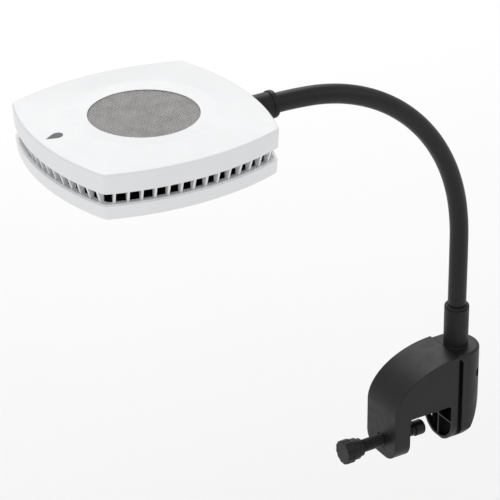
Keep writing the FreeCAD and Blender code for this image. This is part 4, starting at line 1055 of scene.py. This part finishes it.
@dataclass
class Post:
    """The collared post that turns in the clamp and carries the neck."""

    axis: Vector
    foot: float
    top: float
    collar_foot: float
    radius: float = 7.55
    spigot: float = 6.0
    bore: float = 5.65

    def build(self) -> None:
        """The post with its line, its rounded shoulder and the neck's seat."""
        base, top, radius = self.collar_foot, self.top, self.radius
        profile = [(0, self.foot), (self.spigot - 0.4, self.foot), (self.spigot, self.foot + 0.4)]
        profile += [(self.spigot, base), (radius - 0.2, base), (radius, base + 0.2)]
        line = top - 1.9
        profile += [(radius, line - 0.05), (radius - 0.12, line), (radius - 0.45, line + 0.05)]
        profile += [(radius - 0.45, line + 0.35), (radius - 0.12, line + 0.4)]
        profile += arc((radius - 1.5, top - 1.4), (1.5, 1.4), 0, 84, 7)
        profile += [(self.bore + 0.2, top), (self.bore, top - 0.15), (self.bore, top - 10), (4.2, top - 10)]
        profile += [(4.2, top - 22), (0, top - 22)]
        solid = solid_of(turned, profile, self.axis, Z_AXIS, 80)
        finished(solid, "post_collar", BLACK_PLASTIC, Body.POST, ["arm_post"])


@dataclass
class Clamp:
    """The clamp's frame, its hollow jaw with ribs, and the barrel that holds the post."""

    front: float
    seam: float
    roof: float
    side: float
    foot: float
    slot_half: float = 15.5
    leg_round: float = 3.6
    corner: float = 11.0
    flat: float = 0.4
    edge_round: float = 2.6
    bow_foot: float = 3.0
    bow_middle: float = 20.0
    jaw_foot: float = -29.5
    tail_level: float = 24.0
    rib_drop: float = 13.4
    drop: float = 18.5
    barrel_x: float = 27.0
    barrel_radius: float = 14.5
    groove: float = 4.0
    groove_cover: float = 2.5
    web_half: float = 11.5
    rim: float = 1.8
    jaw_top: float = -2.5
    lock_height: float = 15.5
    lock_angle: float = -50.0

    def build(self) -> None:
        """Builds the frame and the barrel."""
        self.frame()
        self.barrel()

    def u_outline(self, half: float, foot: float, top: float, corner: float) -> list[Point]:
        """The legs' outline seen along X: straight sides and a rounded foot."""
        return rounded([(-half, top, 0), (-half, foot, corner), (half, foot, corner), (half, top, 0)], 14)

    def jaw_outline(self, inset: float, top: float, half: float | None = None) -> list[Point]:
        """The fixed jaw's outline seen along X, nearly a half circle, taken in by an inset."""
        inner = (half or self.side) - inset
        return self.u_outline(inner, self.jaw_foot + inset, top, inner - self.flat)

    def along_x(self, solid: BMesh, outline: Iterable[Point], start: float, end: float) -> None:
        """Adds an outline of Y and Z, pushed along X."""
        prism(solid, [Vector((start, y, z)) for y, z in outline], X_AXIS * (end - start))

    def along_y(self, solid: BMesh, outline: Iterable[Point], half: float) -> None:
        """Adds an outline of X and Z, pushed along Y on both sides of the middle plane."""
        prism(solid, [Vector((x, -half, z)) for x, z in outline], Y_AXIS * 2 * half)

    def bow(self, last: float = 90) -> list[Point]:
        """The curve of the front and top, from the front leg up to the seam."""
        radii = (self.bow_middle - self.front, self.roof - self.bow_foot)
        curve = arc((self.bow_middle, self.bow_foot), radii, 180, last, 44)
        return [point for point in curve if point[0] < self.seam]

    def frame(self) -> None:
        """The C-shaped frame: bowed front, leg, bridge, and the rim and ribs of the fixed jaw."""
        front, seam, slot, foot, jaw = self.front, self.seam, self.slot_half, self.foot, self.jaw_foot
        corners = [(front, foot, 0.0), *((x, z, 0.0) for x, z in self.bow()), (seam, self.roof, 0.0)]
        corners += [(seam, jaw, 0.4), (slot, jaw, 0.8), (slot, 0, 0.5), (-slot, 0, 1.6)]
        outline = rounded([*corners, (-slot, foot, self.leg_round)], 5)
        solid = solid_of(self.along_y, outline, self.side + 6)
        leg = self.u_outline(self.side, foot, self.roof + 5, self.corner)
        rear = self.jaw_outline(0, self.roof + 5)
        stations = ((front - 5, leg), (3 - slot, leg), (slot - 3, rear), (seam + 5, rear))
        rings = [[Vector((x, y, z)) for y, z in ends] for x, ends in stations]
        solid = shaped(solid, Carve.KEEP, lofted, rings, closed=False)
        soften(solid, sharp_edges(solid, self.on_skin, 50), self.edge_round, 7)
        window = self.jaw_outline(self.rim, self.jaw_top)
        solid = shaped(solid, Carve.CUT, self.along_x, window, slot - 3, seam + 3)
        seat = Vector((front - 5, 0, -self.drop))
        hole = [(0, 0), (5.4, 0), (5.4, 4.4), (4.6, 5.2), (4.6, 6.5), (6.5, 6.5), (6.5, 20), (0, 20)]
        solid = shaped(solid, Carve.CUT, turned, hole, seat, X_AXIS, 48)
        solid = carved(solid, self.ribs(), Carve.JOIN)
        finished(solid, "clamp_body", CLAMP_PLASTIC, Body.CLAMP, ["clamp_frame"])

    def on_skin(self, middle: Vector) -> bool:
        """Whether a point is on the outer edge of the bowed front and top."""
        if abs(middle.x - self.front) < 0.05:
            return True
        radii = (self.bow_middle - self.front, self.roof - self.bow_foot)
        share = ((middle.x - self.bow_middle) / radii[0]) ** 2 + ((middle.z - self.bow_foot) / radii[1]) ** 2
        return middle.z > self.bow_foot and share > 0.985 and middle.x < self.seam - 0.2

    def ribs(self) -> BMesh:
        """The upright and level ribs that cross in the hollow jaw, reaching just into its rim."""
        low, high, level = self.slot_half + 0.3, self.seam - 0.1, -self.rib_drop
        bars, crossing = bmesh.new(), bmesh.new()
        block(bars, Vector((low, -0.6, self.jaw_foot)), Vector((high, 0.6, 0)))
        block(crossing, Vector((low, -self.side, level - 0.6)), Vector((high, self.side, level + 0.6)))
        bars = carved(bars, crossing, Carve.JOIN)
        room = self.jaw_outline(self.rim - 0.3, self.jaw_top + 0.3)
        return shaped(bars, Carve.KEEP, self.along_x, room, low - 1, high + 1)

    def tail(self, inset: float, top: float, far: float) -> list[Point]:
        """The barrel's outline seen along Y, tapering below, taken in by an inset."""
        reach = self.barrel_x + self.barrel_radius - self.slot_half - inset
        fall = self.tail_level - self.jaw_foot - inset
        curve = arc((self.slot_half, self.tail_level), (reach, fall), 0, -90, 48)
        return [(self.slot_half, top), (far, top), (far, self.tail_level), *curve]

    def barrel(self) -> None:
        """The barrel: round behind, tapered below, hollow behind the jaw, with a groove at each side."""
        edge, groove_end = self.seam + 0.25, self.seam + self.groove
        x, radius, top = self.barrel_x, self.barrel_radius, self.roof
        far, low, roof = x + radius + 3, self.jaw_foot - 3, top - self.groove_cover
        plan = [(edge, radius), *arc((x, 0), (radius, radius), 90, -90, 56), (edge, -radius)]
        solid = solid_of(prism, [Vector((*place, low)) for place in plan], Z_AXIS * (top - low))
        solid = shaped(solid, Carve.KEEP, self.along_y, self.tail(0, top + 5, far), self.side + 6)
        solid = shaped(solid, Carve.KEEP, self.along_x, self.jaw_outline(0, top + 5), edge - 3, far)
        rims = sharp_edges(solid, lambda middle: middle.z > top - 0.1 and middle.x > edge + 0.1, 50)
        soften(solid, rims, 1.6, 4)
        corners = [(edge - 1, low, 0), (groove_end, low, 0), (groove_end, roof, 3.4), (edge - 1, roof, 0)]
        slit = rounded(corners, 6)
        for side in (-1, 1):
            wall = [Vector((a, side * self.web_half, b)) for a, b in slit]
            solid = shaped(solid, Carve.CUT, prism, wall, Y_AXIS * side * 9)
        room = self.jaw_outline(self.rim, self.jaw_top, self.web_half)
        hollow = solid_of(self.along_x, room, edge - 2, edge + 11)
        hollow = shaped(hollow, Carve.KEEP, self.along_y, self.tail(self.rim, top, far), self.side + 6)
        solid = carved(solid, hollow, Carve.CUT)
        bore = [(0, -3), (9, -3), (9, 7), (6.05, 7), (6.05, 60), (0, 60)]
        solid = shaped(solid, Carve.CUT, turned, bore, Vector((x, 0, 0)), Z_AXIS, 64)
        aim = Matrix.Rotation(math.radians(self.lock_angle), 3, "Z") @ X_AXIS
        start = Vector((x, 0, self.lock_height))
        hole = [(0, 5), (3, 5), (3, 25), (0, 25)]
        solid = shaped(solid, Carve.CUT, turned, hole, start, aim, 40)
        finished(solid, "barrel_body", CLAMP_PLASTIC, Body.CLAMP, ["arm_barrel"])


@dataclass
class ClampScrew:
    """The screw with its rolled thread, its knob and the tip that presses the panel."""

    level: float
    tip_face: float
    knob_end: float
    radius: float = 4.0
    pitch: float = 1.25
    root: float = 3.35
    knob_radius: float = 7.5
    flutes: int = 12

    def build(self) -> None:
        """Builds the three pieces."""
        self.rod()
        self.knob()
        self.tip()

    def rod(self) -> None:
        """The threaded rod: a zigzag profile turned once as it moves on by one pitch, and its nose."""
        solid, steps = bmesh.new(), 40
        start = self.knob_end + 9
        length = self.tip_face - 8 - start
        turns = round(length / self.pitch)
        chain = []
        tooth = ((0, self.root), (0.12, self.root), (0.45, self.radius), (0.62, self.radius))
        for index in range(turns):
            for share, radius in tooth:
                place = start + (index + share) * self.pitch
                chain.append(solid.verts.new((place, 0, self.level + radius)))
        edges = [solid.edges.new(pair) for pair in zip(chain, chain[1:])]
        centre = Vector((0, 0, self.level))
        bmesh.ops.spin(
            solid, geom=chain + edges, cent=centre, axis=X_AXIS, angle=2 * math.pi, steps=steps,
            dvec=X_AXIS * self.pitch / steps,
        )
        bmesh.ops.remove_doubles(solid, verts=solid.verts, dist=1e-3)
        bmesh.ops.holes_fill(solid, edges=[edge for edge in solid.edges if edge.is_boundary], sides=0)
        end = start + turns * self.pitch
        nose = [(0, -1), (3.6, -1), (3.6, 1.0), (2.6, 1.6), (2.6, 5.4), (2.3, 5.7), (0, 5.7)]
        turned(solid, nose, Vector((end, 0, self.level)), X_AXIS, 40)
        finished(solid, "threaded_rod", BLACK_STEEL, Body.SCREW, ["clamp_screw"])

    def knob(self) -> None:
        """The scalloped knob with its stepped back."""
        solid = bmesh.new()
        middle = Vector((self.knob_end, 0, self.level))
        made = bmesh.ops.create_circle(
            solid, cap_ends=True, segments=16 * self.flutes, radius=self.knob_radius,
            matrix=Matrix.Translation(middle) @ Matrix.Rotation(math.pi / 2, 4, "Y"),
        )["verts"]
        for vert in made:
            spoke = vert.co - middle
            turn = math.atan2(spoke.z, spoke.y) * self.flutes / 2
            vert.co = middle + spoke * (1 - 0.075 * (1 - abs(math.sin(turn))) ** 2)
        faces = list({face for vert in made for face in vert.link_faces})
        grown = bmesh.ops.extrude_face_region(solid, geom=faces, use_keep_orig=True)["geom"]
        bmesh.ops.translate(
            solid, verts=[item for item in grown if isinstance(item, bmesh.types.BMVert)], vec=X_AXIS * 5.5
        )
        rims = sharp_edges(solid, lambda point: True, 60)
        soften(solid, [e for e in rims if abs(e.verts[0].co.x - e.verts[1].co.x) < 0.01], 0.7, 3)
        step = [(0, 5), (6.6, 5), (6.6, 9.6), (6.2, 10), (5.6, 10), (5.6, 12.6), (5.2, 13)]
        step += [(4.1, 13), (4.1, 11), (0, 11)]
        turned(solid, step, middle, X_AXIS, 64)
        face = [(0, -0.01), (4.6, -0.01), (4.9, 0.3), (4.9, 0.6), (0, 0.6)]
        turned(solid, face, middle, X_AXIS, 48)
        finished(solid, "scalloped_knob", BLACK_PLASTIC, Body.SCREW, ["screw_knob"])

    def tip(self) -> None:
        """The round-nosed tip."""
        profile = [(2.65, -7), (4.4, -7), (4.7, -6.7)]
        profile += arc((3.2, -1.5), (1.5, 1.5), 0, 90, 6)
        profile += [(0, 0)]
        closed = [(0, -2.0), (2.65, -2.0)] + profile
        solid = solid_of(turned, closed, Vector((self.tip_face, 0, self.level)), X_AXIS, 56)
        finished(solid, "press_tip", BLACK_PLASTIC, Body.TIP, ["pressure_tip"])


# ---------------------------------------------------------------- the studio


@dataclass
class Studio:
    """A pale floor, soft lights and the camera."""

    subject: Vector
    floor_level: float
    azimuth: float = -30.565
    elevation: float = 28.221
    roll: float = -0.681
    distance: float = 1.289076
    aside: float = 0.056052
    above: float = -0.071287
    focal: float = 175.67817

    def build(self) -> None:
        """Sets up everything round the lamp."""
        self.floor()
        self.light_world()
        self.lamp("key", (0.7, 1.5, 1.3), 1.5, 14)
        self.lamp("fill", (-1.3, -0.6, 0.6), 1.4, 3.6)
        self.lamp("side", (1.5, -1.1, 0.9), 1.0, 2.5)
        self.camera()
        bpy.context.scene.view_settings.view_transform = "Standard"

    def floor(self) -> None:
        """The floor, with the faintest change of tone."""
        sheet = bmesh.new()
        bmesh.ops.create_grid(sheet, x_segments=8, y_segments=8, size=8)
        bmesh.ops.translate(sheet, verts=sheet.verts, vec=(0, 0, self.floor_level))
        data = bpy.data.meshes.new("studio_floor")
        sheet.to_mesh(data)
        sheet.free()
        made = Shading("studio_floor", Specular_IOR_Level=0.1)
        made.tint(made.noise(400), (0.3, (0.96, 0.96, 0.96)), (0.7, (0.97, 0.97, 0.97)))
        made.roughen(made.noise(200), 0.8, 0.9)
        data.materials.append(made.material)
        floor = bpy.data.objects.new("studio_floor", data)
        bpy.context.scene.collection.objects.link(floor)

    def light_world(self) -> None:
        """An even white surround."""
        world = bpy.data.worlds.new("studio")
        world.use_nodes = True
        world.node_tree.nodes["Background"].inputs["Color"].default_value = (1, 1, 1, 1)
        world.node_tree.nodes["Background"].inputs["Strength"].default_value = 0.72
        bpy.context.scene.world = world

    def lamp(self, name: str, place: tuple[float, float, float], size: float, power: float) -> None:
        """A square soft light aimed at the lamp, placed from it in metres."""
        light = bpy.data.lights.new(name, "AREA")
        light.size, light.energy = size, power
        holder = bpy.data.objects.new(name, light)
        holder.location = self.subject + Vector(place)
        holder.rotation_euler = (-Vector(place)).to_track_quat("-Z", "Y").to_euler()
        bpy.context.scene.collection.objects.link(holder)

    def camera(self) -> None:
        """The camera, set by its direction from the head and its place across that direction."""
        turn, rise, tilt = (math.radians(angle) for angle in (self.azimuth, self.elevation, self.roll))
        back = Vector((math.sin(turn) * math.cos(rise), -math.cos(turn) * math.cos(rise), math.sin(rise)))
        level = Vector((math.cos(turn), math.sin(turn), 0))
        upright = back.cross(level)
        right = level * math.cos(tilt) + upright * math.sin(tilt)
        up = upright * math.cos(tilt) - level * math.sin(tilt)
        data = bpy.data.cameras.new("camera")
        data.lens, data.sensor_width = self.focal, 36.0
        data.clip_start, data.clip_end = 0.05, 30
        holder = bpy.data.objects.new("camera", data)
        place = self.subject + back * self.distance + right * self.aside + up * self.above
        holder.matrix_world = Matrix.Translation(place) @ Matrix((right, up, back)).transposed().to_4x4()
        bpy.context.scene.collection.objects.link(holder)
        bpy.context.scene.camera = holder


def main() -> None:
    """Builds the lamp around its frame, then the studio round the lamp."""
    logging.basicConfig(level=logging.INFO, format="%(message)s")
    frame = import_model()
    CarriedNodes(frame["nodes"]).dress()

    cover_low, cover_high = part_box("top_cover")
    head = Head(Vector(((cover_low.x + cover_high.x) / 2 / MM, 0, cover_high.z / MM - Head.crown)))
    head.build()

    post_low, post_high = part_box("arm_post")
    washer_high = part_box("swivel_washer")[1]
    post_x = (post_low.x + post_high.x) / 2 / MM
    Post(Vector((post_x, 0, 0)), post_low.z / MM, post_high.z / MM, washer_high.z / MM).build()

    bends = [Vector(joint["pos_m"]) / MM for joint in frame["joints"] if joint["name"].startswith("neck_")]
    collar_end = Vector((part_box("head_collar")[1].x / MM, 0, head.middle.z + head.arm_level))
    Neck(bends, Vector((post_x, 0, post_high.z / MM)), collar_end).build()

    frame_low, frame_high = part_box("clamp_frame")
    Clamp(frame_low.x / MM, frame_high.x / MM, 32.8, frame_high.y / MM, -28.3).build()
    tip_low, tip_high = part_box("pressure_tip")
    knob_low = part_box("screw_knob")[0]
    ClampScrew((tip_low.z + tip_high.z) / 2 / MM, tip_high.x / MM, knob_low.x / MM).build()

    lowest = min(frame_low.z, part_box("arm_barrel")[0].z)
    Studio(head.middle * MM, lowest - 0.09).build()


if __name__ == "__main__":
    main()
